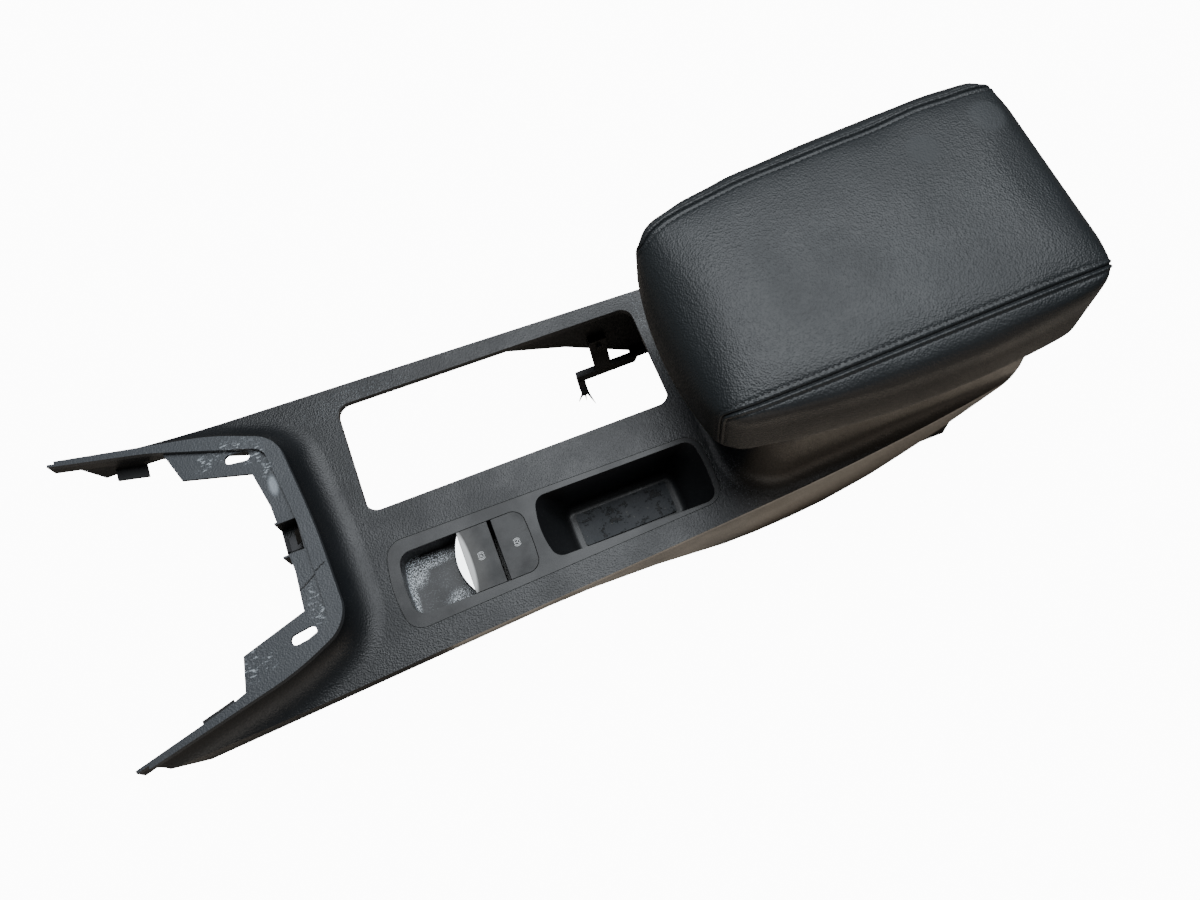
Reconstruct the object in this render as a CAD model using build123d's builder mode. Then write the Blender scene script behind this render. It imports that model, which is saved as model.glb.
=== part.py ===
"""Car centre console: moulded body, switch and tray panel, storage tower and padded armrest.

Millimetres. +X runs to the rear of the car, +Y to its right-hand side and +Z up.
The origin is the middle of the console's footprint, on the plane that its lowest
edges stand on.
"""

import os
from math import sqrt

from build123d import *

os.makedirs("parts", exist_ok=True)

# Main levels and walls
DECK_Z = 105.0  # top of the flat deck round the gear selector
LIP_Z = 133.0  # top of the raised collar at the dashboard end
TOWER_TOP_Z = 169.5  # top edge of the storage tower
WALL = 2.8  # moulded wall of the console body
FIT_GAP = 0.4  # gap round a piece that is dropped into an opening
REST_GAP = 0.3  # gap between pieces of different bodies that rest on each other
RUNNING_GAP = 0.05  # radial clearance of a pin in its bore
PRESS_GAP = 0.02  # radial clearance of a pin that is held by its bore
OVERCUT = 10.0  # a cut runs this far past the face that it opens
DEEP_OVERCUT = 40.0  # the same where nothing else of the piece stands in the way
ALL_THROUGH = 200.0  # a cut or trim of this length passes the whole console's side

# Plan of the body at deck level
FRONT_X = -420.0
REAR_X = 372.0
ARM_STRAIGHT_X = -371.0
ARM_HALF_WIDTH = 137.0
WAIST_X = 126.0  # the sides start to curve in here
WAIST_HALF_WIDTH = 112.0
TAIL_X = 350.0
TAIL_HALF_WIDTH = 91.0
TAIL_RADIUS = 16.0
SIDE_LEAN = 0.09  # the side walls close in by this much per unit of drop

# Raised collar round the dashboard's centre stack, symmetric before its skew
COLLAR_SKEW = 0.09  # the collar is set back towards the driver by this much per unit of Y
LIP_OUTER = [(-405.0, ARM_HALF_WIDTH + 3.8), (-262.0, 108.0), (-213.0, 86.0), (-209.5, 0.0)]
LIP_OUTER_RADII = [200.0, 30.0, 600.0]
LIP_INNER = [(-394.0, ARM_HALF_WIDTH - 3.6), (-314.0, 113.0), (-226.0, 80.0), (-220.5, 0.0)]
LIP_INNER_RADII = [200.0, 14.0, 500.0]
COVE_RADIUS = 26.0
COVE_REACH = 72.0  # how far outward the cove's cut sweeps the collar clear
COVE_END_X = -172.0  # the deck is flat behind this station
ARM_END_LEVELS = (160.0, 80.0)  # heights between which the arms' slanted ends are drawn
RIGHT_ARM_END = (-411.0, -378.0)  # X of the slanted end at those heights
LEFT_ARM_END = (-387.0, -342.0)
RETURN_DEPTH = 14.0  # short wall under the lip's inner edge
RETURN_WALL = 2.4
FLANGE_STEP = 4.0  # the slotted flange lies this far below the lip
FLANGE_OPENING = [(-480.0, 150.0), (-306.0, 150.0), (-304.0, 110.0), (-296.0, 80.0), (-242.0, 63.5), (-237.5, 30.0)]
SLOT_CENTRE = (-248.5, 82.0)
SLOT_LENGTH = 21.0
SLOT_WIDTH = 8.5
SLOT_TURN = 8.0
POCKET_X = (-241.0, -221.5)
POCKET_Y = (-15.0, 13.0)
POCKET_DEPTH = 18.0
POCKET_WALL = 1.8

# Lower edge of the side walls, seen from the side
SIDE_EDGE = [(-440.0, 84.0), (-60.0, 88.0), (-25.0, 83.0), (35.0, 58.0), (100.0, 15.0), (130.0, 5.0), (165.0, 0.0),
             (200.0, 0.0), (246.0, 14.0), (302.0, 55.0), (340.0, 92.0), (380.0, 130.0)]

# Gear selector opening: front and rear ends, and its two sides at each end
GEAR_FRONT_X = -171.5
GEAR_REAR_X = 95.0
GEAR_FRONT_Y = (4.0, 108.0)
GEAR_REAR_Y = (2.0, 100.0)
GEAR_RADIUS = 11.0
GEAR_RETURN_DEPTH = 6.0
GEAR_RETURN_WALL = 2.2

# Storage tower
TOWER_FRONT_X = 119.0
TOWER_SLOPE_X = 9.0  # its front leans back by this much at the top
TOWER_HALF_WIDTH = 98.0
TOWER_TAIL_HALF_WIDTH = 88.0
TOWER_TAPER = 5.0  # each side is this much narrower at the top
TOWER_RADIUS = 34.0
TOWER_TAIL_RADIUS = 14.0
TOWER_COVE = 12.0

# Switch and tray panel, with the opening in the deck that it fills
PANEL_FRONT_X = -171.0
PANEL_REAR_X = 103.0
PANEL_FRONT_Y = (-104.0, -27.0)
PANEL_REAR_Y = (-94.8, -33.0)
PANEL_BOW = 6.0
PANEL_RADIUS = 15.0
PANEL_PLATE = 2.5
PANEL_FLANGE = 4.5
PANEL_SKIRT_DEPTH = 14.0
EAR_RADIUS = 5.0
LEFT_EAR_X = [-128.0, 0.0]
RIGHT_EAR_X = [-128.0, 62.0]

# Coin tray
TRAY_FRONT_X = -45.0
TRAY_REAR_X = 98.0
TRAY_FRONT_Y = (-90.0, -35.0)
TRAY_REAR_Y = (-92.8, -37.0)
TRAY_BOW = 5.0
TRAY_RADIUS = 10.0
TRAY_DEPTH = 50.0
TRAY_FLOOR_X = (-21.0, 76.0)
TRAY_FLOOR_Y = (-82.0, -38.0)
TRAY_WALL = 2.2
TRAY_RIM = 1.4  # the tray wall thins to this at the panel's surface
TRAY_CORNER = 7.0
MAT_THICKNESS = 1.6

# Finger pocket and the well that the two keys stand in
WELL_FRONT_X = -161.5
WELL_REAR_X = -53.5
WELL_Y = (-93.5, -39.0)
WELL_BOW = 3.0
WELL_RADIUS = 11.0
WELL_WALL = 2.0
WELL_DEPTH = 21.0
FINGER_POCKET_REAR_X = -112.0

# Keys
KEY_SIDE_GAP = 0.6
ROCKER_X = (-110.0, -84.0)
ROCKER_PIVOT = (-95.0, 93.0)
ROCKER_HEIGHT = 15.0
KEY_WALL = 1.8
PIN_RADIUS = 1.5
KEY_EDGE = 0.8
CHROME_REACH = 8.0  # the bright lip stands this far ahead of the rocker at its middle
CHROME_DEPTH = 5.5
HOLD_X = (-81.0, -50.0)
HOLD_HEIGHT = 9.0
HOLD_TRAVEL = 1.5
STEM_X = -68.0
STEM_RADIUS = 4.0
STEM_BOTTOM_Z = 73.0
SLIDE_GAP = 0.1  # radial clearance of the stem in its sleeve
SLEEVE_WALL = 1.8
SLEEVE_BOTTOM_Z = 72.5
SLEEVE_TOP_Z = 86.0

# Housing under the keys
HOUSING_X = (-114.0, -51.5)
HOUSING_HALF_WIDTH = 30.0
HOUSING_BOTTOM_Z = 62.0
HOUSING_WALL = 2.0
HOUSING_EAR_X = -121.0
HOUSING_EAR_Z = 76.0
POST_Y = 20.0
POST_THICKNESS = 3.0
BOARD_LIFT = 2.0
BOARD_THICKNESS = 1.6
SOCKET_SIZE = (22.0, 12.0)
SOCKET_DEPTH = 12.0

# Clips at the collar
CLIP_STRIP = 0.8
CLIP_WIDTH = 12.0
ARM_CLIP_X = (-348.0, -322.0)
ARM_CLIP_DROP = 10.0
ARM_CLIP_TONGUE = 13.0

# Storage bin
BIN_FRONT_X = 139.0
BIN_REAR_X = 356.0
BIN_HALF_WIDTH = 79.0
BIN_TAIL_HALF_WIDTH = 71.0
BIN_FLOOR_Z = 32.0
BIN_FLOOR_FRONT_X = 152.0
BIN_FLOOR_REAR_X = 318.0
BIN_FLOOR_HALF_WIDTH = 74.0
BIN_FLOOR_TAIL_HALF_WIDTH = 68.0
BIN_WALL = 2.4
BIN_RADIUS = 18.0
BIN_CORNER = 10.0
BIN_FLANGE = 2.5
STOP_RADIUS = 4.5
STOP_POINTS = [(165.0, 85.5), (336.0, 78.2)]

# Armrest
PAD_FRONT_X = 87.0
PAD_CORNER_X = 100.0
PAD_REAR_X = 406.0
PAD_REAR_CORNER_X = 386.0
PAD_FRONT_HALF_WIDTH = 88.0
PAD_HALF_WIDTH = 106.0
PAD_REAR_HALF_WIDTH = 98.0
PAD_WIDEST_X = 255.0
PAD_BOTTOM_Z = 176.5
PAD_TOP_FRONT_Z = 241.0
PAD_TOP_REAR_Z = 261.0
PAD_TOP_REAR_X = 397.0  # the rear face leans forward to here at the top
PAD_CROWN = 5.0
PAD_FRONT_RADIUS = 32.0
PAD_REAR_RADIUS = 26.0
PAD_TOP_FRONT_RADIUS = 42.0
PAD_TOP_REAR_RADIUS = 18.0
PAD_SHOULDER_RADIUS = 11.0
PAN_INSET = 7.0
PAN_BOTTOM_Z = 175.5
PAN_TOP_Z = 196.0
PAN_WALL = 2.5
LINER_THICKNESS = 3.5
LID_SCREW_POINTS = [(128.0, 62.0), (350.0, 78.0)]
LID_SCREW_SINK = 2.4
PAN_RIB_X = [160.0, 225.0, 290.0]
PAN_RIB = 2.0
PAN_RIB_LIFT = 4.0  # the ribs end this far above the liner

# Hinge
HINGE_X = 391.0
HINGE_Z = 166.0
HINGE_PIN_RADIUS = 3.0
HINGE_KNUCKLE_RADIUS = 5.5
HINGE_HALF_SPAN = 45.0
HINGE_EAR = 3.0
HINGE_PLATE = 2.5
HINGE_PLATE_Z = (140.0, 168.0)
HINGE_SCREW_Z = 150.0
HINGE_SCREW_Y = [-36.0, -12.0, 12.0, 36.0]
LEAF_LENGTH = 22.0
LEAF_SCREW_X = 380.5
LEAF_SCREW_Y = [-38.0, -14.0, 14.0, 38.0]

# Mounting hardware
RAIL_X = (37.0, 112.0)
RAIL_Z = (14.0, 25.0)
RAIL_Y = 92.5  # inner face of the bar, which stands clear of the wall
RAIL_THICKNESS = 6.0
RAIL_PAD_LENGTH = 15.0  # end of the bar that is bent out to the wall
RAIL_TAB_X = (56.0, 72.0)
RAIL_TAB_BEND_Z = 42.0
RAIL_TAB_TOP_Z = 62.0
PRONG_WIDTH = 7.0
PRONG_TIPS = [(32.0, 80.0), (39.0, 78.0), (46.0, 72.0)]
PEG_POINTS = [(64.0, 53.0), (105.0, 20.5)]
PEG_RADIUS = 2.5
PEG_LENGTH = 10.0
SEAT = 0.1
BRACKET_X = (304.0, 330.0)
BRACKET_Y = 80.0
BRACKET_THICKNESS = 3.0
BRACKET_TOP_Z = 56.0
BRACKET_FOOT = 26.0
BRACKET_HOLE_RADIUS = 3.5
BRACKET_HOLE_Y = 65.0
BRACKET_SCREW_Z = 47.0
LUG_Z = (40.0, 56.0)
LUG_LENGTH = 20.0
SCREW_RADIUS = 1.9
SCREW_HEAD_RADIUS = 3.6
SCREW_HEAD = 2.2


def skewed(point):
    """Place a point of the symmetric collar on the real, skewed one."""
    return (point[0] - COLLAR_SKEW * point[1], point[1])


def mirrored(points):
    """Continue a right-hand list of points across the centre plane."""
    left = [(x, -y) for x, y in reversed(points) if y > 0]
    return [skewed(point) for point in points + left]


def side_y(x, z):
    """Outer face of the right side wall between its arm and its waist."""
    share = (x - ARM_STRAIGHT_X) / (WAIST_X - ARM_STRAIGHT_X)
    return ARM_HALF_WIDTH + share * (WAIST_HALF_WIDTH - ARM_HALF_WIDTH) + (z - DECK_Z) * SIDE_LEAN


def body_outline(z, inset=0.0):
    """Plan of the body at height z, drawn inset inside the outer surface."""
    lean = (z - DECK_Z) * SIDE_LEAN - inset
    front = (FRONT_X, ARM_HALF_WIDTH + lean)
    straight = (ARM_STRAIGHT_X, ARM_HALF_WIDTH + lean)
    waist = (WAIST_X, WAIST_HALF_WIDTH + lean)
    tail = (TAIL_X, TAIL_HALF_WIDTH + lean)
    direction = (waist[0] - straight[0], waist[1] - straight[1])
    with BuildSketch(Plane.XY.offset(z)) as plan:
        with BuildLine():
            Polyline(front, straight, waist)
            side = TangentArc(waist, tail, tangent=direction)
            corner = TangentArc(tail, (REAR_X - inset, tail[1] - TAIL_RADIUS), tangent=side % 1)
            Line(corner @ 1, (REAR_X - inset, 0))
            mirror(about=Plane.XZ)
            Line(front, (front[0], -front[1]))
        make_face()
    return plan.sketch


def collar_line(points, radii):
    """Path along one edge of the collar's lip, from the right tip to the left one."""
    corners = radii + radii[-2::-1]
    with BuildLine(Plane.XY.offset(LIP_Z)) as line:
        FilletPolyline(*mirrored(points), radius=corners)
    return line.line


def across(path):
    """Plane square to the start of a collar path, with +X outward and +Y up."""
    tangent = path % 0
    return Plane(origin=path @ 0, x_dir=(-tangent.Y, tangent.X, 0), z_dir=tangent)


def cove_cut(inset):
    """Air outside the collar, above its cove; inset gives the inner surface."""
    path = collar_line(LIP_OUTER, LIP_OUTER_RADII)
    drop = LIP_Z - DECK_Z
    reach = COVE_RADIUS + inset
    with BuildPart() as cut:
        with BuildSketch(across(path)):
            with BuildLine():
                top = 30.0
                Polyline((-inset, COVE_RADIUS - drop), (-inset, top), (COVE_REACH, top), (COVE_REACH, -drop - inset),
                         (COVE_RADIUS, -drop - inset))
                RadiusArc((COVE_RADIUS, -drop - inset), (-inset, COVE_RADIUS - drop), reach)
            make_face()
        sweep(path=path)
        with BuildSketch(Plane.XY.offset(DECK_Z - inset)):
            with Locations((COVE_END_X, 0)):
                Rectangle(REAR_X - COVE_END_X + OVERCUT, 2 * ALL_THROUGH, align=(Align.MIN, Align.CENTER))
        extrude(amount=80)
    return cut.part


def tower_outline(z, inset=0.0):
    """Plan of the storage tower at height z, flared into a cove at its foot."""
    rise = (z - DECK_Z) / (TOWER_TOP_Z - DECK_Z)
    drop = max(DECK_Z + TOWER_COVE - z, 0.0)
    grow = TOWER_COVE - sqrt(max((TOWER_COVE + inset) ** 2 - drop**2, 0.0))
    front = TOWER_FRONT_X + TOWER_SLOPE_X * rise - grow
    half = TOWER_HALF_WIDTH - TOWER_TAPER * rise + grow
    tail = TOWER_TAIL_HALF_WIDTH - TOWER_TAPER * rise + grow
    rear = REAR_X - inset
    with BuildSketch(Plane.XY.offset(z)) as plan:
        with BuildLine():
            Polyline((rear, tail), (front, half), (front, -half), (rear, -tail), close=True)
        make_face()
        fillet(plan.vertices().group_by(Axis.X)[0], radius=TOWER_RADIUS + grow)
        fillet(plan.vertices().group_by(Axis.X)[-1], radius=TOWER_TAIL_RADIUS)
    return plan.sketch


def body_solid(inset):
    """The body as a block, drawn inset inside its outer surface."""
    low = 0.0 if inset == 0 else -1.0
    flare_levels = [DECK_Z - inset + share * (TOWER_COVE + inset) for share in (0.0, 0.15, 0.35, 0.6, 1.0)]
    top = TOWER_TOP_Z if inset == 0 else TOWER_TOP_Z + 1
    with BuildPart() as block:
        loft([body_outline(low, inset), body_outline(LIP_Z - inset, inset)], ruled=True)
        add(cove_cut(inset), mode=Mode.SUBTRACT)
    with BuildPart() as flare:
        loft([tower_outline(z, inset) for z in flare_levels])
        with BuildPart(mode=Mode.PRIVATE) as bounds:
            loft([body_outline(low, inset), body_outline(LIP_Z, inset)], ruled=True)
        add(bounds.part, mode=Mode.INTERSECT)
    with BuildPart() as tower:
        loft([tower_outline(flare_levels[-1], inset), tower_outline(top, inset)], ruled=True)
    return block.part + flare.part + tower.part


def prism(sketch, low, high):
    """A sketch drawn on the ground plane, stood between two heights."""
    with BuildPart() as solid:
        with BuildSketch(Plane.XY.offset(low)):
            add(sketch)
        extrude(amount=high - low)
    return solid.part


def quad_plan(front_x, rear_x, front_y, rear_y, radius, bow=0.0, grow=0.0):
    """Four-sided opening with bowed ends and rounded corners, grown by a margin."""
    front_x = front_x + bow
    rear_x = rear_x - bow / 2
    middle = (sum(front_y) + sum(rear_y)) / 4
    with BuildSketch() as plan:
        with BuildLine():
            Line((front_x, front_y[0]), (rear_x, rear_y[0]))
            if bow:
                ThreePointArc((rear_x, rear_y[0]), (rear_x + bow / 2, middle), (rear_x, rear_y[1]))
            else:
                Line((rear_x, rear_y[0]), (rear_x, rear_y[1]))
            Line((rear_x, rear_y[1]), (front_x, front_y[1]))
            if bow:
                ThreePointArc((front_x, front_y[1]), (front_x - bow, middle), (front_x, front_y[0]))
            else:
                Line((front_x, front_y[1]), (front_x, front_y[0]))
        make_face()
        fillet(plan.vertices(), radius=radius)
        if grow:
            offset(amount=grow)
    return plan.sketch


def gear_plan(grow=0.0):
    return quad_plan(GEAR_FRONT_X, GEAR_REAR_X, GEAR_FRONT_Y, GEAR_REAR_Y, GEAR_RADIUS, grow=grow)


def panel_plan(grow=0.0):
    return quad_plan(PANEL_FRONT_X, PANEL_REAR_X, PANEL_FRONT_Y, PANEL_REAR_Y, PANEL_RADIUS, PANEL_BOW, grow)


def tray_plan(grow=0.0):
    return quad_plan(TRAY_FRONT_X, TRAY_REAR_X, TRAY_FRONT_Y, TRAY_REAR_Y, TRAY_RADIUS, TRAY_BOW, grow)


def tray_floor_plan(grow=0.0):
    return quad_plan(*TRAY_FLOOR_X, TRAY_FLOOR_Y, TRAY_FLOOR_Y, TRAY_RADIUS, grow=grow)


def well_plan(grow=0.0):
    return quad_plan(WELL_FRONT_X, WELL_REAR_X, WELL_Y, WELL_Y, WELL_RADIUS, WELL_BOW, grow)


def ear_point(x, side):
    """Screw of one panel ear, clear of the panel's flange; side is -1 at the left edge."""
    share = (x - PANEL_FRONT_X) / (PANEL_REAR_X - PANEL_FRONT_X)
    edge = 0 if side < 0 else 1
    return (x, PANEL_FRONT_Y[edge] + share * (PANEL_REAR_Y[edge] - PANEL_FRONT_Y[edge]) + side * EAR_REACH)


# Levels that follow from the driving sizes
FLANGE_Z = LIP_Z - FLANGE_STEP
DECK_UNDER_Z = DECK_Z - WALL
PANEL_SEAT_Z = DECK_UNDER_Z - PANEL_PLATE
EAR_Z = DECK_Z - PANEL_SKIRT_DEPTH
TRAY_FLOOR_Z = DECK_Z - TRAY_DEPTH
WELL_FLOOR_Z = DECK_Z - WELL_DEPTH
BIN_TOP_Z = TOWER_TOP_Z + BIN_FLANGE
WELL_UNDER_Z = WELL_FLOOR_Z - WELL_WALL
WELL_MIDDLE_Y = sum(WELL_Y) / 2
KEY_HALF_WIDTH = (WELL_Y[1] - WELL_Y[0]) / 2 - KEY_SIDE_GAP
EAR_REACH = PANEL_FLANGE + EAR_RADIUS + REST_GAP
SCREW_POINTS = [ear_point(x, -1) for x in LEFT_EAR_X] + [ear_point(x, 1) for x in RIGHT_EAR_X]

# The body: one moulding, open below
inner_line = collar_line(LIP_INNER, LIP_INNER_RADII)
with BuildSketch() as collar_inside:
    with BuildLine():
        FilletPolyline(*mirrored(LIP_INNER), radius=LIP_INNER_RADII + LIP_INNER_RADII[-2::-1])
        Polyline(skewed(LIP_INNER[0]), (FRONT_X - 30, LIP_INNER[0][1]), (FRONT_X - 30, -LIP_INNER[0][1]),
                 skewed((LIP_INNER[0][0], -LIP_INNER[0][1])))
    make_face()
with BuildSketch() as stack_opening:
    with BuildLine():
        Polyline(*mirrored(FLANGE_OPENING), close=True)
    make_face()
with BuildSketch(Plane.XZ) as below_side_edge:
    with BuildLine():
        Polyline((-440, -20), *SIDE_EDGE, (380, -20), close=True)
    make_face()
SLOTS = [skewed(SLOT_CENTRE), skewed((SLOT_CENTRE[0], -SLOT_CENTRE[1]))]
pocket_centre = (sum(POCKET_X) / 2, sum(POCKET_Y) / 2)
pocket_size = (POCKET_X[1] - POCKET_X[0], POCKET_Y[1] - POCKET_Y[0])

with BuildPart() as console_shell:
    add(body_solid(0.0) - body_solid(WALL))
    # side walls end above the floor, and the arms end in a slope
    with BuildSketch(Plane.XZ.offset(-ALL_THROUGH)):
        add(below_side_edge.sketch)
    extrude(amount=400, mode=Mode.SUBTRACT)
    for side, end in ((1, RIGHT_ARM_END), (-1, LEFT_ARM_END)):
        with BuildSketch(Plane.XZ):
            with BuildLine():
                Polyline((FRONT_X - 30, ARM_END_LEVELS[0]), (end[0], ARM_END_LEVELS[0]), (end[1], ARM_END_LEVELS[1]),
                         (FRONT_X - 30, ARM_END_LEVELS[1]), close=True)
            make_face()
        extrude(amount=-side * ALL_THROUGH, mode=Mode.SUBTRACT)
    # the collar is open inside its lip, with a slotted flange and a short return wall
    add(prism(collar_inside.sketch, 0, LIP_Z + OVERCUT), mode=Mode.SUBTRACT)
    with BuildSketch(across(inner_line)):
        Rectangle(RETURN_WALL, RETURN_DEPTH, align=(Align.MIN, Align.MAX))
    sweep(path=inner_line)
    add(prism(collar_inside.sketch - stack_opening.sketch, FLANGE_Z - WALL, FLANGE_Z))
    for place, turn in zip(SLOTS, (-SLOT_TURN, SLOT_TURN)):
        with BuildSketch(Plane.XY.offset(FLANGE_Z - WALL - 1)):
            with Locations(Location((*place, 0), (0, 0, turn))):
                SlotOverall(SLOT_LENGTH, SLOT_WIDTH)
        extrude(amount=WALL + 2, mode=Mode.SUBTRACT)
    # clip pocket in the middle of the flange, open to the front
    with BuildSketch(Plane.XY.offset(FLANGE_Z - POCKET_DEPTH)):
        with Locations(pocket_centre):
            Rectangle(pocket_size[0], pocket_size[1] + 2 * POCKET_WALL)
    extrude(amount=POCKET_DEPTH)
    with BuildSketch(Plane.XY.offset(FLANGE_Z - POCKET_DEPTH + POCKET_WALL)):
        with Locations((pocket_centre[0] - POCKET_WALL, pocket_centre[1])):
            Rectangle(*pocket_size)
    extrude(amount=POCKET_DEPTH, mode=Mode.SUBTRACT)
    # gear selector opening with its return wall
    add(prism(gear_plan(GEAR_RETURN_WALL), DECK_Z - GEAR_RETURN_DEPTH, DECK_Z - 1))
    add(prism(gear_plan(), 0, DECK_Z + OVERCUT), mode=Mode.SUBTRACT)
    # opening for the panel, with a boss above each of its ears
    add(prism(panel_plan(FIT_GAP), DECK_Z - 2 * OVERCUT, DECK_Z + OVERCUT), mode=Mode.SUBTRACT)
    with BuildSketch(Plane.XY.offset(EAR_Z + PANEL_PLATE)):
        with Locations(*SCREW_POINTS):
            Circle(EAR_RADIUS)
    extrude(amount=DECK_UNDER_Z + 1 - EAR_Z - PANEL_PLATE)
    with BuildSketch(Plane.XY.offset(EAR_Z)):
        with Locations(*SCREW_POINTS):
            Circle(SCREW_RADIUS)
    extrude(amount=11, mode=Mode.SUBTRACT)
    # pegs that the side rails are staked on, and bosses behind the hinge
    for side in (1, -1):
        for x, z in PEG_POINTS:
            with BuildSketch(Plane.XZ.offset(-side * (side_y(x, z) - WALL / 2))):
                with Locations((x, z)):
                    Circle(PEG_RADIUS)
            extrude(amount=side * PEG_LENGTH)
    with BuildSketch(Plane.YZ.offset(REAR_X - WALL / 2)):
        with Locations(*[(y, HINGE_SCREW_Z) for y in HINGE_SCREW_Y]):
            Circle(EAR_RADIUS)
    extrude(amount=-8)
    with BuildSketch(Plane.YZ.offset(REAR_X)):
        with Locations(*[(y, HINGE_SCREW_Z) for y in HINGE_SCREW_Y]):
            Circle(SCREW_RADIUS)
    extrude(amount=-8, mode=Mode.SUBTRACT)

# Switch and tray panel: plate, flange under the deck, skirt with ears, pocket and tray
with BuildPart() as switch_panel:
    add(prism(panel_plan(), PANEL_SEAT_Z, DECK_Z))
    add(prism(panel_plan(PANEL_FLANGE), PANEL_SEAT_Z, DECK_UNDER_Z))
    add(prism(panel_plan(-PANEL_PLATE), PANEL_SEAT_Z, DECK_Z - PANEL_PLATE), mode=Mode.SUBTRACT)
    # skirt that stiffens the plate and carries the ears
    add(prism(panel_plan() - panel_plan(-TRAY_WALL), EAR_Z, PANEL_SEAT_Z))
    for x, y in SCREW_POINTS:
        inward = Align.MAX if y > WELL_MIDDLE_Y else Align.MIN
        with BuildSketch(Plane.XY.offset(EAR_Z)):
            with Locations((x, y)):
                Circle(EAR_RADIUS)
                Rectangle(2 * EAR_RADIUS, EAR_REACH + TRAY_WALL, align=(Align.CENTER, inward))
        extrude(amount=PANEL_PLATE)
    with BuildSketch(Plane.XY.offset(EAR_Z - 1)):
        with Locations(*SCREW_POINTS):
            Circle(SCREW_RADIUS)
    extrude(amount=PANEL_PLATE + 2, mode=Mode.SUBTRACT)
    # tray
    with BuildPart(mode=Mode.PRIVATE) as tray_outside:
        loft([Plane.XY.offset(TRAY_FLOOR_Z - TRAY_WALL) * tray_floor_plan(TRAY_WALL),
              Plane.XY.offset(DECK_Z - 1) * tray_plan(TRAY_RIM)], ruled=True)
    with BuildPart(mode=Mode.PRIVATE) as tray_inside:
        loft([Plane.XY.offset(TRAY_FLOOR_Z) * tray_floor_plan(), Plane.XY.offset(DECK_Z) * tray_plan()], ruled=True)
        fillet(tray_inside.faces().sort_by(Axis.Z)[0].edges(), radius=TRAY_CORNER)
    add(tray_outside.part)
    add(tray_inside.part, mode=Mode.SUBTRACT)
    # well for the keys: its floor ends behind the finger pocket
    add(prism(well_plan(WELL_WALL), WELL_FLOOR_Z - WELL_WALL, DECK_Z - 1))
    add(prism(well_plan(), WELL_FLOOR_Z, DECK_Z + 1), mode=Mode.SUBTRACT)
    with BuildSketch(Plane.XY.offset(WELL_FLOOR_Z - WELL_WALL - 1)):
        with Locations((FINGER_POCKET_REAR_X, WELL_MIDDLE_Y)):
            Rectangle(WELL_REAR_X - FINGER_POCKET_REAR_X - 4, WELL_Y[1] - WELL_Y[0] - 4, align=(Align.MIN, Align.CENTER))
    extrude(amount=WELL_WALL + 2, mode=Mode.SUBTRACT)
    # bosses for the housing's screws
    for side in (1, -1):
        with BuildSketch(Plane.XY.offset(HOUSING_EAR_Z)):
            with Locations((HOUSING_EAR_X, WELL_MIDDLE_Y + side * POST_Y)):
                Circle(EAR_RADIUS)
        extrude(amount=WELL_UNDER_Z + 0.5 - HOUSING_EAR_Z)
        with BuildSketch(Plane.XY.offset(HOUSING_EAR_Z)):
            with Locations((HOUSING_EAR_X, WELL_MIDDLE_Y + side * POST_Y)):
                Circle(SCREW_RADIUS)
        extrude(amount=6, mode=Mode.SUBTRACT)

# Rubber mat on the tray's floor
with BuildPart() as tray_mat:
    with BuildSketch(Plane.XY.offset(TRAY_FLOOR_Z)):
        add(tray_floor_plan(-TRAY_CORNER - FIT_GAP))
    extrude(amount=MAT_THICKNESS)


def key_plan(front_x, rear_x):
    """Part of the well, less the gap round a key, between two stations."""
    with BuildSketch() as plan:
        add(well_plan(-KEY_SIDE_GAP))
        with Locations((front_x, WELL_MIDDLE_Y)):
            Rectangle(rear_x - front_x, ALL_THROUGH / 2, align=(Align.MIN, Align.CENTER), mode=Mode.INTERSECT)
    return plan.sketch


def key_cap(front_x, rear_x, height):
    """Hollow key cap, open below."""
    plan = key_plan(front_x, rear_x)
    with BuildPart() as cap:
        add(prism(plan, DECK_Z - height, DECK_Z))
        fillet(cap.faces().sort_by(Axis.Z)[-1].edges().sort_by(Axis.X)[0], radius=KEY_EDGE)
        with BuildSketch(Plane.XY.offset(DECK_Z - height)):
            add(plan)
            offset(amount=-KEY_WALL)
        extrude(amount=height - KEY_WALL, mode=Mode.SUBTRACT)
    return cap.part


# Rocker of the parking brake switch: the pin goes through its side skirts
with BuildPart() as parking_brake_switch:
    add(key_cap(*ROCKER_X, ROCKER_HEIGHT))
    with BuildSketch(Plane.XZ.offset(-WELL_MIDDLE_Y)):
        with Locations(ROCKER_PIVOT):
            Circle(PIN_RADIUS + RUNNING_GAP)
    extrude(amount=KEY_HALF_WIDTH + 1, both=True, mode=Mode.SUBTRACT)

# Bright lip that the finger pulls: a crescent over the pocket
with BuildPart() as switch_chrome_lip:
    with BuildSketch(Plane.XY.offset(DECK_Z - CHROME_DEPTH)):
        with BuildLine():
            left_end = (ROCKER_X[0], WELL_MIDDLE_Y - KEY_HALF_WIDTH)
            right_end = (ROCKER_X[0], WELL_MIDDLE_Y + KEY_HALF_WIDTH)
            Line(left_end, right_end)
            ThreePointArc(right_end, (ROCKER_X[0] - CHROME_REACH, WELL_MIDDLE_Y), left_end)
        make_face()
    extrude(amount=CHROME_DEPTH)
    fillet(switch_chrome_lip.edges().group_by(Axis.Z)[-1].sort_by(Axis.X)[0], radius=1.6)

with BuildPart() as brake_switch_pin:
    with BuildSketch(Plane.XZ.offset(-WELL_MIDDLE_Y)):
        with Locations(ROCKER_PIVOT):
            Circle(PIN_RADIUS)
    extrude(amount=KEY_HALF_WIDTH - 0.3, both=True)

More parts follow.
